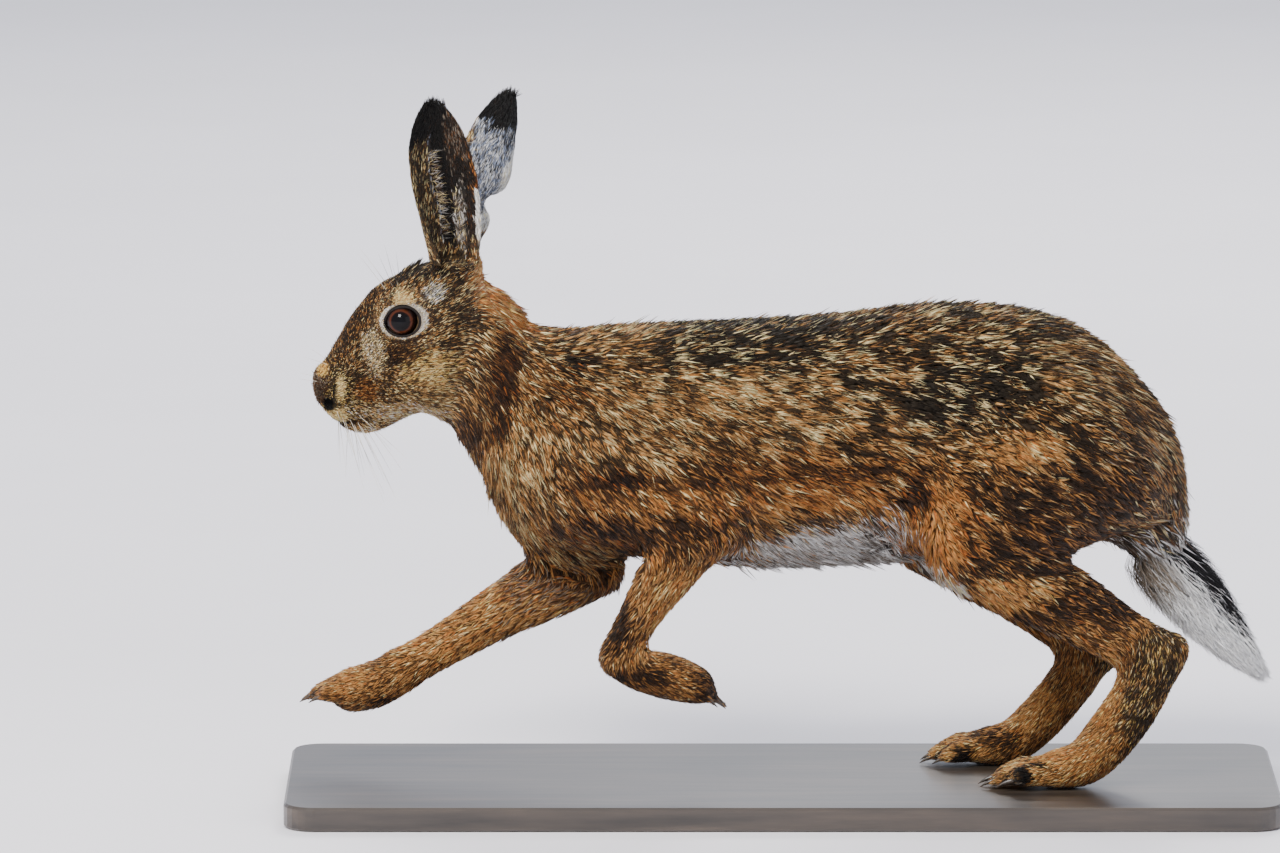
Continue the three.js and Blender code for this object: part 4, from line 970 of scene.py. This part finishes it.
def kites(root, waist, tip, side, up, width):
    # slender flat tufts that arch a little, as root, left, right and tip, wound so that they face outwards
    along = tip - root
    wide = width[:, None]
    line = root + along * np.clip(dot(waist - root, along) / dot(along, along), 0.3, 0.6)
    drift = np.clip(dot(waist - line, side), -wide, wide)
    arch = np.clip(dot(waist - line, up), 0.35 * wide, 0.8 * wide)
    waist = line + side * drift + up * arch
    half = side * wide / 2
    return np.stack([root, waist + half, waist - half, tip], axis=1)


def growCoat(name, skinData, material):
    nodeNames, count, slot, test = coatPieces[name]
    rng = np.random.default_rng(coatMake["seed"] + len(name) * 31 + count)
    points, triangles = skinData["points"], skinData["triangles"]
    chosen = np.isin(skinData["owner"][triangles[:, 0]], [flesh.index(node) for node in nodeNames])
    if test:
        chosen &= test(points[triangles].mean(1) / mm)
    corners, uv = unwrapPatch(skinData["skin"], chosen)
    sides = points[corners]
    area = np.linalg.norm(np.cross(sides[:, 1] - sides[:, 0], sides[:, 2] - sides[:, 0]), axis=1)
    total = np.cumsum(area * skinData["dense"][corners].mean(1))
    picks = (np.arange(count) + rng.random(count)) / count * total[-1]
    face = np.minimum(np.searchsorted(total, picks), len(total) - 1)
    u, v = np.sqrt(rng.random(count)), rng.random(count)
    share = np.stack([1 - u, u * (1 - v), u * v], axis=1)[:, :, None]

    def at(key):
        values = skinData[key][corners[face]]
        return (values * (share if values.ndim == 3 else share[:, :, 0])).sum(1)

    def varied(key, least, more):
        return at(key) * (least + more * rng.random(count)) * mm

    root = at("points")
    normal = unit(at("normals"))
    lie = unit(at("lie"))
    stand = at("stand")
    size = at("length")
    length = varied("length", *coatMake["length"])
    width = varied("width", *coatMake["width"])
    rise = varied("depth", *coatMake["rise"]) * (1 + stand * rng.random(count))
    # some guard hairs are longer and finer and stand out more
    guard = rng.random(count) < coatMake["guard"]
    rise[guard] *= 1 + coatMake["guardRise"] * rng.random(guard.sum())
    length[guard] *= 1 + coatMake["guardLength"]
    width[guard] *= coatMake["guardWidth"]
    # streaks of one colour run along the lie
    inMm = root / mm
    across = np.cross(normal, lie)
    grain = np.concatenate([dot(inMm, way) for way in (across, lie, normal)], axis=1) / coatMake["streak"]
    streaks = softNoise(grain / np.clip(size / 12, 0.35, 1)[:, None], 1, 8)
    # the lie turns a little from tuft to tuft, and slowly from place to place
    turn = coatMake["turn"] * (rng.normal(size=count) * 0.6 + softNoise(inMm, coatMake["turnSize"], 21))
    lie = unit(lie * np.cos(turn)[:, None] + across * np.sin(turn)[:, None])
    across = np.cross(normal, lie)
    # waist and tip follow the skin; stiff hair leaves it where it bends away
    finder = skinData["finder"]
    waist, waistNormal = surfaceBelow(finder, root + lie * (length * coatMake["waist"])[:, None], normal)
    straight = root + lie * length[:, None]
    end, endNormal = surfaceBelow(finder, straight, normal)
    end += (straight - end) * np.minimum(coatMake["stiff"] + 0.6 * stand, 0.9)[:, None]
    waist = waist + waistNormal * (rise * coatMake["waistRise"])[:, None]
    waist += across * (rng.normal(size=count) * coatMake["bend"] * length)[:, None]
    gather = coatMake["clump"] * smoothStep(3, 9, size) + 0.08
    gather = np.minimum(gather + 0.35 * stand, 0.7)[:, None]
    tip = clumpTips(end + endNormal * rise[:, None], rng, gather, coatMake["perClump"])
    start = root - normal * coatMake["sink"] * mm
    along = unit(tip - start)
    side = unit(np.cross(waistNormal, along) + waistNormal * rng.normal(size=count)[:, None] * 0.35)
    side = unit(side - along * dot(side, along))
    tufts = kites(start, waist, tip, side, np.cross(along, side), width)
    # each tuft takes one of the colours that its place has
    shares = markings(inMm, normal, at("member"))
    streaky, patchy, random = coatMake["order"]
    order = streaky * streaks + patchy * softNoise(inMm, 5, 9) + rng.normal(size=count) * random
    rank = (np.argsort(np.argsort(order)) + 0.5) / count
    pick = (np.cumsum(shares, axis=1) < rank[:, None]).sum(1).clip(0, len(colourNames) - 1)
    mean = shares @ paletteLinear
    body = paletteLinear[pick] * coatMake["own"] + mean * (1 - coatMake["own"])
    least, more = coatMake["bright"]
    body *= (least + more * rng.random(count))[:, None]
    # painted shade at the root, where the tufts above hide it, and a painted highlight at the tip
    rootPaintedShade, waistPaintedShade, tipPaintedHighlight = coatMake["paintedShading"]
    colours = np.stack([mean * rootPaintedShade, body * waistPaintedShade, body * waistPaintedShade, body * tipPaintedHighlight], axis=1)
    mesh = tuftMesh(name, tufts, kiteFaces, kiteSpots, colours, (uv[face] * share).sum(1))
    newPiece(name, mesh, material)
    print(name, count, "tufts")


# Long pale hair along the front margin of each ear's hollow and in the fold at its base:
# place across the ear, lowest and highest place up it, how many, length, the way it lies
fringeRows = [
    (0.31, 0.16, 0.70, 320, 6.5, (0.7, 0.2, 0.25)),
    (0.59, 0.08, 0.38, 220, 7.0, (0.15, 0.20, 0.95)),
]
fringeMake = {
    "seed": 7, "width": 0.15, "scatter": 0.04, "splay": 0.42, "waist": 0.45,
    "colours": ("brown", "grey", "paleGrey", "cream"), "paintedShading": (0.5, 0.9, 0.9, 1.1),
}


def growFringe(skinData, material):
    make = fringeMake
    rng = np.random.default_rng(make["seed"])
    points, normals = skinData["points"], skinData["normals"]
    parts = []
    for name, outward in (("ear_left", -1), ("ear_right", 1)):
        hollow = (skinData["owner"] == flesh.index(name)) & (normals[:, 1] * outward > 0.1)
        up, across, _ = earPlace(points / mm, name)
        for place, low, high, count, length, way in fringeRows:
            row = hollow & (np.abs(across - place) < make["scatter"]) & (up > low) & (up < high)
            pick = rng.choice(np.nonzero(row)[0], count)
            root = points[pick] + rng.normal(size=(count, 3)) * 0.8 * mm
            lie = np.array([way[0], way[1] * outward, way[2]]) + rng.normal(size=(count, 3)) * make["splay"]
            size = (length * (0.6 + 0.7 * rng.random(count)) * mm)[:, None]
            waist = root + unit(lie + normals[pick] * 0.4) * size * make["waist"]
            parts.append((root - normals[pick] * 0.3 * mm, waist, root + unit(lie) * size, normals[pick]))
    root, waist, tip, normal = (np.concatenate(rows) for rows in zip(*parts))
    count = len(root)
    along = unit(tip - root)
    side = unit(np.cross(normal, along))
    width = make["width"] * (0.6 + 0.8 * rng.random(count)) * mm
    tufts = kites(root, waist, clumpTips(tip, rng, 0.12, 5), side, np.cross(along, side), width)
    own = linear(np.array([palette[make["colours"][k]] for k in rng.integers(0, 4, count)]))
    # painted shade at the root and a painted highlight at the tip, as on the coat
    colours = np.stack([own * shade for shade in make["paintedShading"]], axis=1)
    # in the map each tuft lies at its height up the ear and anywhere across
    spot = np.stack([rng.random(count), rng.random(count)], axis=1) * 0.98 + 0.01
    spot[:, 1] = np.clip(earPlace(root / mm, "ear_left")[0], 0, 1) * 0.98 + 0.01
    mesh = tuftMesh("coat_ear_fringe", tufts, kiteFaces, kiteSpots, colours, spot)
    newPiece("coat_ear_fringe", mesh, material)
    print("coat_ear_fringe", count, "tufts")


def skinFields(skin, finder, owners):
    # what the coat needs to know at each point of the skin
    points, normals, triangles = meshArrays(skin.data)
    edges = neighbours(triangles)
    owner = np.array([owners[finder.find_nearest(point)[2]] for point in points.tolist()])
    x, y, z = points.T / mm
    owner[(x > skinMake["tailX"]) & (z < skinMake["tailZ"]) & (np.abs(y) < skinMake["tailSide"])] = len(flesh)
    rows = [*fleshNodes.values(), tailRow]
    table = np.array([row[:3] for row in rows])
    depth, length, width = (spread(table[owner, k], edges, skinMake["spread"]) for k in range(3))
    number = np.array([groups.index(row[3]) for row in rows])
    member = np.zeros((len(points), len(groups)))
    member[np.arange(len(points)), number[owner]] = 1
    member = spread(member, edges, skinMake["blend"])
    return {"points": points, "normals": normals, "triangles": triangles, "edges": edges, "owner": owner,
            "depth": depth, "length": length, "width": width, "member": member, "skin": skin}


# How much thinner, shorter and narrower the coat is on the muzzle, the nose and round the eye
faceCoat = {"muzzleLength": 0.5, "muzzleWidth": 0.25, "noseLength": 0.45, "eyeDepth": 0.7, "eyeLength": 0.5}


def shapeSkin(data):
    # draws the skin in by the depth of the coat, and sets what depends on place
    skin, normals = data["skin"], data["normals"]
    soft = unit(spread(normals, data["edges"], 3))
    inMm = data["points"] / mm
    x, y, z = inMm.T
    head = data["owner"] == flesh.index("head")
    muzzle = smoothStep(-185, -245, x) * head
    data["length"] *= 1 - faceCoat["muzzleLength"] * muzzle
    data["width"] *= 1 - faceCoat["muzzleWidth"] * muzzle
    data["length"] *= 1 - faceCoat["noseLength"] * smoothStep(-256, -262, x) * head
    around, _ = eyeSpot(inMm)
    byEye = head * (1 - smoothStep(1.3, 2.2, around)) * smoothStep(6, 12, np.abs(y))
    data["depth"] *= 1 - faceCoat["eyeDepth"] * byEye
    data["length"] *= 1 - faceCoat["eyeLength"] * byEye
    # the lips meet in a groove
    bare = byMouth(inMm) * (x < -232)
    data["points"] = data["points"] - soft * (data["depth"] + bare * 0.9)[:, None] * mm
    # the right ear's rear edge follows its curl, with a rolled rim
    far = data["owner"] == flesh.index("ear_right")
    up, across, rear = earPlace(inMm, "ear_right")
    heights, reaches = np.array(earCurl[::-1]).T
    shift = np.interp(z, heights, reaches) - rear
    data["points"][:, 0] += far * shift * smoothStep(0.35, 1.0, across) * smoothStep(0.02, 0.12, up) * mm
    roll = far * smoothStep(0.8, 0.95, across) * band(*earRoll["low"], *earRoll["high"], z)
    data["points"] += soft * (roll * earRoll["height"])[:, None] * mm
    for dent in dents:
        way = np.repeat(unit(np.array([dent[2]], float)), len(inMm), axis=0)
        way[:, 1] *= np.sign(-y)
        amount = inDent(inMm, dent) * head
        data["points"] += way * (amount * dent[3])[:, None] * mm
        bare = np.maximum(bare, smoothStep(0.3, 0.5, amount))
    skin.data.vertices.foreach_set("co", data["points"].ravel())
    skin.data.update()
    data["points"], data["normals"], _ = meshArrays(skin.data)
    data["normals"] = unit(spread(data["normals"], data["edges"], 1))
    inMm = data["points"] / mm
    data["lie"] = lieOfCoat(inMm, data["owner"], data["normals"], data["edges"])
    # no tufts on the eyeballs, the lips' line and the nostrils
    data["dense"] = 1 / (data["length"] * data["width"])
    data["dense"][(around < 1.03) & (np.abs(inMm[:, 1]) > 8) & head] = 0
    data["dense"][head] *= 1 - bare[head]
    data["stand"] = np.zeros(len(inMm))
    for centre, half, rise, longer in standing:
        weight = 1 - smoothStep(0.6, 1.1, howFar(mirrored(inMm), centre, half))
        data["stand"] += weight * rise
        data["length"] *= 1 + weight * longer
    data["finder"] = BVHTree.FromPolygons(data["points"].tolist(), data["triangles"].tolist())


# The tail's long hair

# Its outline as stations: x, z, half depth, half width
tailOutline = [
    (203, 153, 23, 17), (215, 140.5, 22, 16), (227, 127.5, 20.5, 15), (237.5, 115.5, 19, 14),
    (246.5, 104, 16.5, 12.5), (257, 92.4, 12.4, 10), (267, 81, 7.8, 6.5), (277, 70, 2, 2),
]
# under is the brownish grey painted as shade at the root of the tail's underside
tailMake = {
    "locks": 8000, "width": 0.62, "seed": 5, "inner": 0.5, "stray": 0.2, "sway": 0.22,
    "white": (0.97, 0.965, 0.96), "black": (0.09, 0.08, 0.09), "under": (0.50, 0.44, 0.37),
}


def tailAt(t, angle, reach):
    # a point at t along the tail, 0 to 1, round its middle and out to a share of its outline
    table = np.array(tailOutline, float)
    places = np.linspace(0, 1, len(table))
    x, z, deep, wide = (np.interp(t, places, table[:, k]) for k in range(4))
    way = unit(np.stack([np.gradient(table[:, 0]), np.gradient(table[:, 1])], axis=1))
    alongX, alongZ = (np.interp(t, places, way[:, k]) for k in range(2))
    rise, side = np.sin(angle) * deep * reach, np.cos(angle) * wide * reach
    return np.stack([x - alongZ * rise, side, z + alongX * rise], axis=-1) * mm


def growTail(material):
    make = tailMake
    rng = np.random.default_rng(make["seed"])
    count = make["locks"]
    t = 0.76 * ((np.arange(count) + rng.random(count)) / count) ** 0.9
    angle = rng.random(count) * 2 * math.pi
    layer = make["inner"] + (1 - make["inner"]) * np.sqrt(rng.random(count))
    stray = rng.random(count) < make["stray"]
    layer[stray] *= 1 + 0.12 * rng.random(stray.sum())
    reach = 0.16 + 0.16 * rng.random(count)
    sway = rng.normal(size=count) * make["sway"]
    root = tailAt(t, angle, layer * 0.25)
    first = tailAt(t + reach * 0.34, angle + sway * 0.2, layer * 0.84)
    second = tailAt(t + reach * 0.70, angle + sway * 0.7, layer * 0.98)
    tip = tailAt(np.minimum(t + reach, 1.0), angle + sway, layer * (1.03 + 0.10 * rng.normal(size=count)))
    second += rng.normal(size=(count, 3)) * 0.8 * mm
    tip += rng.normal(size=(count, 3)) * 1.8 * mm
    tip = clumpTips(tip, rng, 0.35, 9)
    width = make["width"] * (0.6 + 0.8 * rng.random(count)) * np.where(stray, 0.6, 1.0) * mm
    points = np.empty((count, 8, 3))
    points[:, 0] = root
    points[:, 7] = tip
    for slot, place, ahead, size in ((1, first, second, 1.0), (4, second, tip, 0.75)):
        way = unit(ahead - place)
        side = unit(np.cross(unit(place - tailAt(t, angle, 0.0)), way))
        half = (width * size / 2)[:, None]
        points[:, slot] = place + side * half
        points[:, slot + 1] = place + np.cross(way, side) * half * 0.6
        points[:, slot + 2] = place - side * half
    # black on top, a dull brownish grey at the root underneath as painted shade, white elsewhere
    top = smoothStep(0.30, 0.62, np.sin(angle) + 0.12 * rng.normal(size=count) - 0.3 * t)
    top *= 1 - smoothStep(0.50, 0.66, t + 0.05 * rng.normal(size=count))
    dark = (rng.random(count) < top)[:, None]
    low = 1 - smoothStep(0.02, 0.26, t + 0.05 * rng.normal(size=count))
    low = (low * (1 - smoothStep(-0.2, 0.6, np.sin(angle))))[:, None]
    shade = (0.88 + 0.2 * rng.random(count))[:, None]
    white, black, under = (linear(np.array(make[name])) for name in ("white", "black", "under"))
    own = np.where(dark, black, white * (1 - low) + under * low) * shade
    # painted shade at each lock's root and a painted highlight at its tip
    colours = np.stack([own * share for share in (0.7, 0.95, 0.95, 0.95, 1, 1, 1, 1.15)], axis=1)
    # in the map each lock lies where it does on the tail, along it and round it
    spot = np.stack([t + reach * 0.5, angle / (2 * math.pi)], axis=1) * 0.98 + 0.01
    mesh = tuftMesh("coat_tail", points, lockFaces, lockSpots, colours, spot)
    newPiece("coat_tail", mesh, material)
    print("coat_tail", count, "locks")


# Strands: whiskers and claws


def bentPath(start, end, sag, steps):
    # points from start to end, bent by sag at the middle
    start, end, sag = Vector(start), Vector(end), Vector(sag)
    ts = [i / (steps - 1) for i in range(steps)]
    return [start.lerp(end, t) + sag * (4 * t * (1 - t)) for t in ts]


def ringEdges(made):
    return list({edge for vert in made["verts"] for edge in vert.link_edges})


def drawStrand(work, path, radii, sides, flat=1.0):
    # a tapered strand: a ring at each point of the path, bridged to the next, closed at both ends
    before = None
    for index, (place, radius) in enumerate(zip(path, radii)):
        way = (path[min(index + 1, len(path) - 1)] - path[max(index - 1, 0)]).normalized()
        across = Vector((0, 1, 0)) if abs(way.y) < 0.9 else Vector((1, 0, 0))
        side = (across - way * way.dot(across)).normalized()
        turn = Matrix((side, way.cross(side) * flat, way)).transposed().to_4x4()
        ends = index in (0, len(path) - 1)
        made = bmesh.ops.create_circle(
            work, segments=sides, radius=radius, matrix=Matrix.Translation(place) @ turn, cap_ends=ends
        )
        edges = ringEdges(made)
        if before:
            bmesh.ops.bridge_loops(work, edges=before + edges)
        before = edges


def strandMesh(work, name):
    bmesh.ops.recalc_face_normals(work, faces=work.faces)
    return toMesh(work, name)


whiskerMake = {
    "seed": 3, "radius": 0.16, "taper": 0.85, "steps": 9, "sides": 4,
    "tones": [(0.42, (0.02, 0.016, 0.013)), (0.56, (0.62, 0.56, 0.46))],
}
# Whiskers on the left, mirrored to the right: root, the way they leave it, length, how far they droop
whiskerRows = [
    ((-254, -10, 229), (0.10, -0.75, -0.35), 34, 5),
    ((-251, -12, 226), (0.25, -0.80, -0.45), 42, 6),
    ((-247, -13, 223), (0.35, -0.75, -0.55), 48, 7),
    ((-243, -14, 220), (0.45, -0.65, -0.65), 46, 6),
    ((-253, -11, 223), (0.05, -0.70, -0.65), 34, 4),
    ((-249, -12, 220), (0.20, -0.62, -0.75), 42, 5),
    ((-245, -13, 217), (0.32, -0.50, -0.85), 44, 5),
    ((-241, -13, 215), (0.50, -0.35, -0.88), 38, 4),
    ((-254, -9, 218), (-0.05, -0.50, -0.85), 24, 3),
    ((-250, -10, 215), (0.08, -0.35, -0.95), 26, 3),
    ((-246, -10, 213), (0.20, -0.25, -0.98), 26, 3),
    ((-242, -12, 226), (0.50, -0.75, -0.30), 44, 7),
]
# Longer hairs over the eye, on the snout and on the cheek
browRows = [
    ((-228, -12, 301), (-0.55, -0.35, 0.75), 26, -2),
    ((-224, -13, 303), (-0.35, -0.45, 0.85), 22, -2),
    ((-221, -14, 304), (-0.20, -0.40, 0.90), 16, -1),
    ((-258, -6, 253), (-0.80, -0.40, 0.35), 13, -1),
    ((-262, -5, 243), (-0.90, -0.40, 0.10), 11, -1),
    ((-196, -29, 252), (0.75, -0.55, -0.30), 24, 2),
]


def makeWhiskers(finder):
    rng = np.random.default_rng(whiskerMake["seed"])
    steps = whiskerMake["steps"]
    radii = [whiskerMake["radius"] * mm * (1 - whiskerMake["taper"] * i / (steps - 1)) for i in range(steps)]
    work = bmesh.new()
    for side in (1, -1):
        for root, way, length, droop in whiskerRows + browRows:
            place, normal, _, _ = finder.find_nearest(Vector((root[0], root[1] * side, root[2])) * mm)
            way = Vector((way[0], way[1] * side, way[2])).normalized()
            way = (way + Vector(rng.normal(size=3)) * 0.06).normalized()
            size = length * (0.9 + 0.2 * rng.random()) * mm
            end = place + way * size + Vector((droop * 0.5, 0, -droop)) * mm
            sag = Vector((0, way.y, 0.2)) * 0.08 * size
            drawStrand(work, bentPath(place - normal * mm, end, sag, steps), radii, whiskerMake["sides"])
    material = grainMaterial("whiskerHorn", 0.4, 60.0, whiskerMake["tones"], 2.0)[0]
    newPiece("whiskers", strandMesh(work, "whiskers"), material)


# Claws, four to a foot, as in the solids: root, tip and spread of the toes, and their lengths
toeRows = {
    "foot_left": ((150, -35, 23.5), (118, -35, 18.5), 9.5, (0.74, 1, 0.97, 0.7)),
    "foot_right": ((113, 35, 23.5), (86, 35, 18.5), 9.5, (0.74, 1, 0.97, 0.7)),
    "paw_left": ((-57, -32, 74), (-37.5, -32, 64.5), 7.3, (0.78, 1, 0.96, 0.72)),
    "paw_right": ((-248, 25, 60), (-270.5, 25, 56), 7.3, (0.76, 1, 0.96, 0.7)),
}
clawMake = {
    "radius": 1.35, "length": 6.5, "droop": 2.4, "inside": 4, "clear": 0.8, "sag": 0.8, "steps": 7,
    "sides": 8, "flat": 1.2, "tones": [(0.35, (0.012, 0.009, 0.007)), (0.7, (0.07, 0.05, 0.035))],
}


def makeClaws():
    make, steps = clawMake, clawMake["steps"]
    radii = [make["radius"] * mm * (1 - (k / (steps - 1)) ** 1.8 * 0.92) for k in range(steps)]
    work = bmesh.new()
    for root, tip, apart, lengths in toeRows.values():
        root, tip = Vector(root), Vector(tip)
        heading = (tip - root).normalized()
        for i, share in enumerate(lengths):
            end = root.lerp(tip, share)
            end.y += (i - 1.5) * apart * (1 if root.y > 0 else -1)
            point = end + heading * make["length"] + Vector((0, 0, -make["droop"]))
            point.z = max(point.z, boardTop + make["clear"])
            start = (end - heading * make["inside"]) * mm
            path = bentPath(start, point * mm, Vector((0, 0, make["sag"])) * mm, steps)
            drawStrand(work, path, radii, make["sides"], make["flat"])
    material = grainMaterial("clawHorn", 0.32, 260.0, make["tones"], 4.0)[0]
    newPiece("claws", strandMesh(work, "claws"), material)


# Lids

lidMake = {
    "half": (10.1, 8.3), "steps": 56, "corner": 0.09, "onSkin": 1.16, "onBall": 0.97,
    "tones": [(0.3, (0.004, 0.003, 0.003)), (0.7, (0.014, 0.010, 0.008))],
}
# Loops of the lid from the eyeball outwards: scale of the opening and height over the surface
lidLoops = [(0.91, -0.8), (0.93, 0.25), (0.98, 0.55), (1.03, 0.5), (1.08, 0.1), (1.12, -0.9), (1.0, -1.6)]


def makeLids(finder):
    material, tree, shader, height = grainMaterial("lidSkin", 0.7, 500.0, lidMake["tones"], 4.0)
    shader.inputs["Specular IOR Level"].default_value = 0.15
    addBump(tree, shader, height, 0.3, 0.0003)
    steps = lidMake["steps"]
    angles = [2 * math.pi * i / steps for i in range(steps)]
    for side, name in ((-1, "lid_left"), (1, "lid_right")):
        # how far out the lid lies: on the ball, or on the skin just outside it, evened out round the eye
        outs = []
        for angle in angles:
            x, z = lidSpot(angle, lidMake["onSkin"])
            hit = finder.ray_cast(Vector((x, side * 60, z)) * mm, Vector((0, -side, 0)))
            skinOut = abs(hit[0].y) / mm if hit[0] else 0
            x, z = lidSpot(angle, lidMake["onBall"])
            left = max(eyeMake["radius"] ** 2 - (x - eyeCentre[0]) ** 2 - (z - eyeCentre[2]) ** 2, 0)
            outs.append(max(skinOut, abs(eyeCentre[1]) + math.sqrt(left)))
        outs = [sum(outs[(i + k) % steps] for k in range(-4, 5)) / 9 for i in range(steps)]
        work = bmesh.new()
        first = before = None
        for scale, lift in lidLoops:
            made = bmesh.ops.create_circle(work, segments=steps, radius=1)
            for vert, angle, out in zip(made["verts"], angles, outs):
                x, z = lidSpot(angle, scale)
                vert.co = Vector((x, side * (out + lift), z)) * mm
            edges = ringEdges(made)
            first = first or edges
            if before:
                bmesh.ops.bridge_loops(work, edges=before + edges)
            before = edges
        bmesh.ops.bridge_loops(work, edges=before + first)
        newPiece(name, strandMesh(work, name), material)


def lidSpot(angle, scale):
    # a point of the eye's opening seen from the side: an oval with a drawn-out front corner
    corner = 1 + lidMake["corner"] * math.exp(-(((angle - math.pi * 1.05) / 0.35) ** 2))
    a = math.cos(angle) * lidMake["half"][0] * scale * corner
    b = math.sin(angle) * lidMake["half"][1] * scale
    tilt = math.radians(eyeRing["tilt"])
    x = eyeCentre[0] + a * math.cos(tilt) - b * math.sin(tilt)
    return x, eyeCentre[2] + a * math.sin(tilt) + b * math.cos(tilt)


# Eyes

eyeMake = {"radius": 10.3, "iris": 7.7, "bulge": 0.7, "forward": -0.12, "up": 0.06, "mapSize": 16}
# From the middle of the pupil outwards: share of mapSize, colour
irisStops = [
    (0.0, (0.003, 0.003, 0.004)),
    (0.345, (0.003, 0.002, 0.002)),
    (0.365, (0.016, 0.005, 0.003)),
    (0.400, (0.058, 0.015, 0.006)),
    (0.440, (0.036, 0.010, 0.004)),
    (0.470, (0.008, 0.003, 0.002)),
    (0.560, (0.003, 0.002, 0.002)),
]


def eyeMaterial():
    material, tree, shader = newMaterial("eyeGloss", 0.08)
    place = addNode(tree, "ShaderNodeUVMap", uv_map="gaze")
    length = addNode(tree, "ShaderNodeVectorMath", operation="LENGTH")
    tree.links.new(place.outputs["UV"], length.inputs[0])
    streaks = addNode(tree, "ShaderNodeTexNoise", Scale=900.0, Detail=4.0)
    coordinates = addNode(tree, "ShaderNodeTexCoord")
    tree.links.new(coordinates.outputs["Object"], streaks.inputs["Vector"])
    # fine streaks of the iris shift its rings a little
    shift = addNode(tree, "ShaderNodeMath", operation="MULTIPLY_ADD")
    shift.inputs[1].default_value = 0.05
    tree.links.new(streaks.outputs["Fac"], shift.inputs[0])
    tree.links.new(length.outputs["Value"], shift.inputs[2])
    tree.links.new(addRamp(tree, shift.outputs["Value"], irisStops), shader.inputs["Base Color"])
    shader.inputs["Specular IOR Level"].default_value = 0.0
    shader.inputs["Coat Weight"].default_value = 1.0
    shader.inputs["Coat IOR"].default_value = 1.22
    shader.inputs["Coat Roughness"].default_value = 0.02
    return material


def makeEye(side, material):
    name = "eye_left" if side < 0 else "eye_right"
    low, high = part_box(name)
    gaze = Vector((eyeMake["forward"], side, eyeMake["up"])).normalized()
    work = bmesh.new()
    bmesh.ops.create_uvsphere(work, u_segments=48, v_segments=32, radius=eyeMake["radius"] * mm)
    gazeMap = work.loops.layers.uv.new("gaze")
    for vert in work.verts:
        # the cornea stands out a little over the iris
        if vert.co.z > 0:
            out = math.hypot(vert.co.x, vert.co.y) / mm
            vert.co.z += eyeMake["bulge"] * mm * max(0, 1 - (out / eyeMake["iris"]) ** 2)
    scale = 1 / (eyeMake["mapSize"] * mm)
    for face in work.faces:
        for loop in face.loops:
            spot = loop.vert.co
            loop[gazeMap].uv = (spot.x * scale, spot.y * scale) if spot.z > 0 else (2, 2)
    turn = gaze.to_track_quat("Z", "Y").to_matrix().to_4x4()
    bmesh.ops.transform(work, matrix=Matrix.Translation((low + high) / 2) @ turn, verts=work.verts)
    piece = newPiece(name + "_ball", toMesh(work, name + "_ball"), material)
    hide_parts(name)


# The board and the floor

boardMake = {
    "grain": (3, 40, 40),
    "tones": [(0.3, (0.020, 0.016, 0.013)), (0.55, (0.045, 0.034, 0.026)), (0.75, (0.075, 0.055, 0.04))],
}


def boardMaterial():
    material, tree, shader, height = grainMaterial(
        "boardLacquer", 0.34, 3.0, boardMake["tones"], 8.0, boardMake["grain"]
    )
    addBump(tree, shader, height, 0.15, 0.0006)
    shader.inputs["Coat Weight"].default_value = 0.3
    shader.inputs["Coat Roughness"].default_value = 0.2
    return material


def makeFloor():
    work = bmesh.new()
    bmesh.ops.create_grid(work, x_segments=2, y_segments=2, size=studio["floorSize"])
    floor = newObject("floor", toMesh(work, "floor"))
    base = studio["floor"]
    shade = tuple(c * 0.97 for c in base)
    floor.data.materials.append(grainMaterial("floorMatt", 0.8, 3.0, [(0.35, shade), (0.65, base)], 3.0)[0])


placeCamera()
lightStudio()
makeFloor()
print("studio set")

skin, finder, owners = makeSkin()
thinSkin(skin)
data = skinFields(skin, finder, owners)
shapeSkin(data)
# the skin shows between the tufts, in the same markings but darker, as painted shade under the coat
skinPaintedShade = 0.35
skinColours = markings(data["points"] / mm, data["normals"], data["member"]) @ paletteLinear * skinPaintedShade
paint(skin.data, skinColours)
skinMaterial, tree, shader, height = paintedMaterial("skinUnderFur", 0.8, 900.0)
addBump(tree, shader, height, 0.5, 0.0006)
skin.data.materials.clear()
skin.data.materials.append(skinMaterial)
skin.data.shade_smooth()
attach(skin, "root")
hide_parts(*fleshNodes, "tail")
print("skin shaped:", len(skin.data.polygons), "triangles")

furMaterial = paintedMaterial("furTufts", 0.6, 700.0, 0.05)[0]
for pieceName in coatPieces:
    growCoat(pieceName, data, furMaterial)

growFringe(data, furMaterial)
growTail(furMaterial)

glossMaterial = eyeMaterial()
for side in (-1, 1):
    makeEye(side, glossMaterial)
makeLids(data["finder"])
makeWhiskers(data["finder"])
makeClaws()
print("eyes, lids, whiskers and claws made")

board = nodes["stand_board"]
board.data.materials.clear()
board.data.materials.append(boardMaterial())
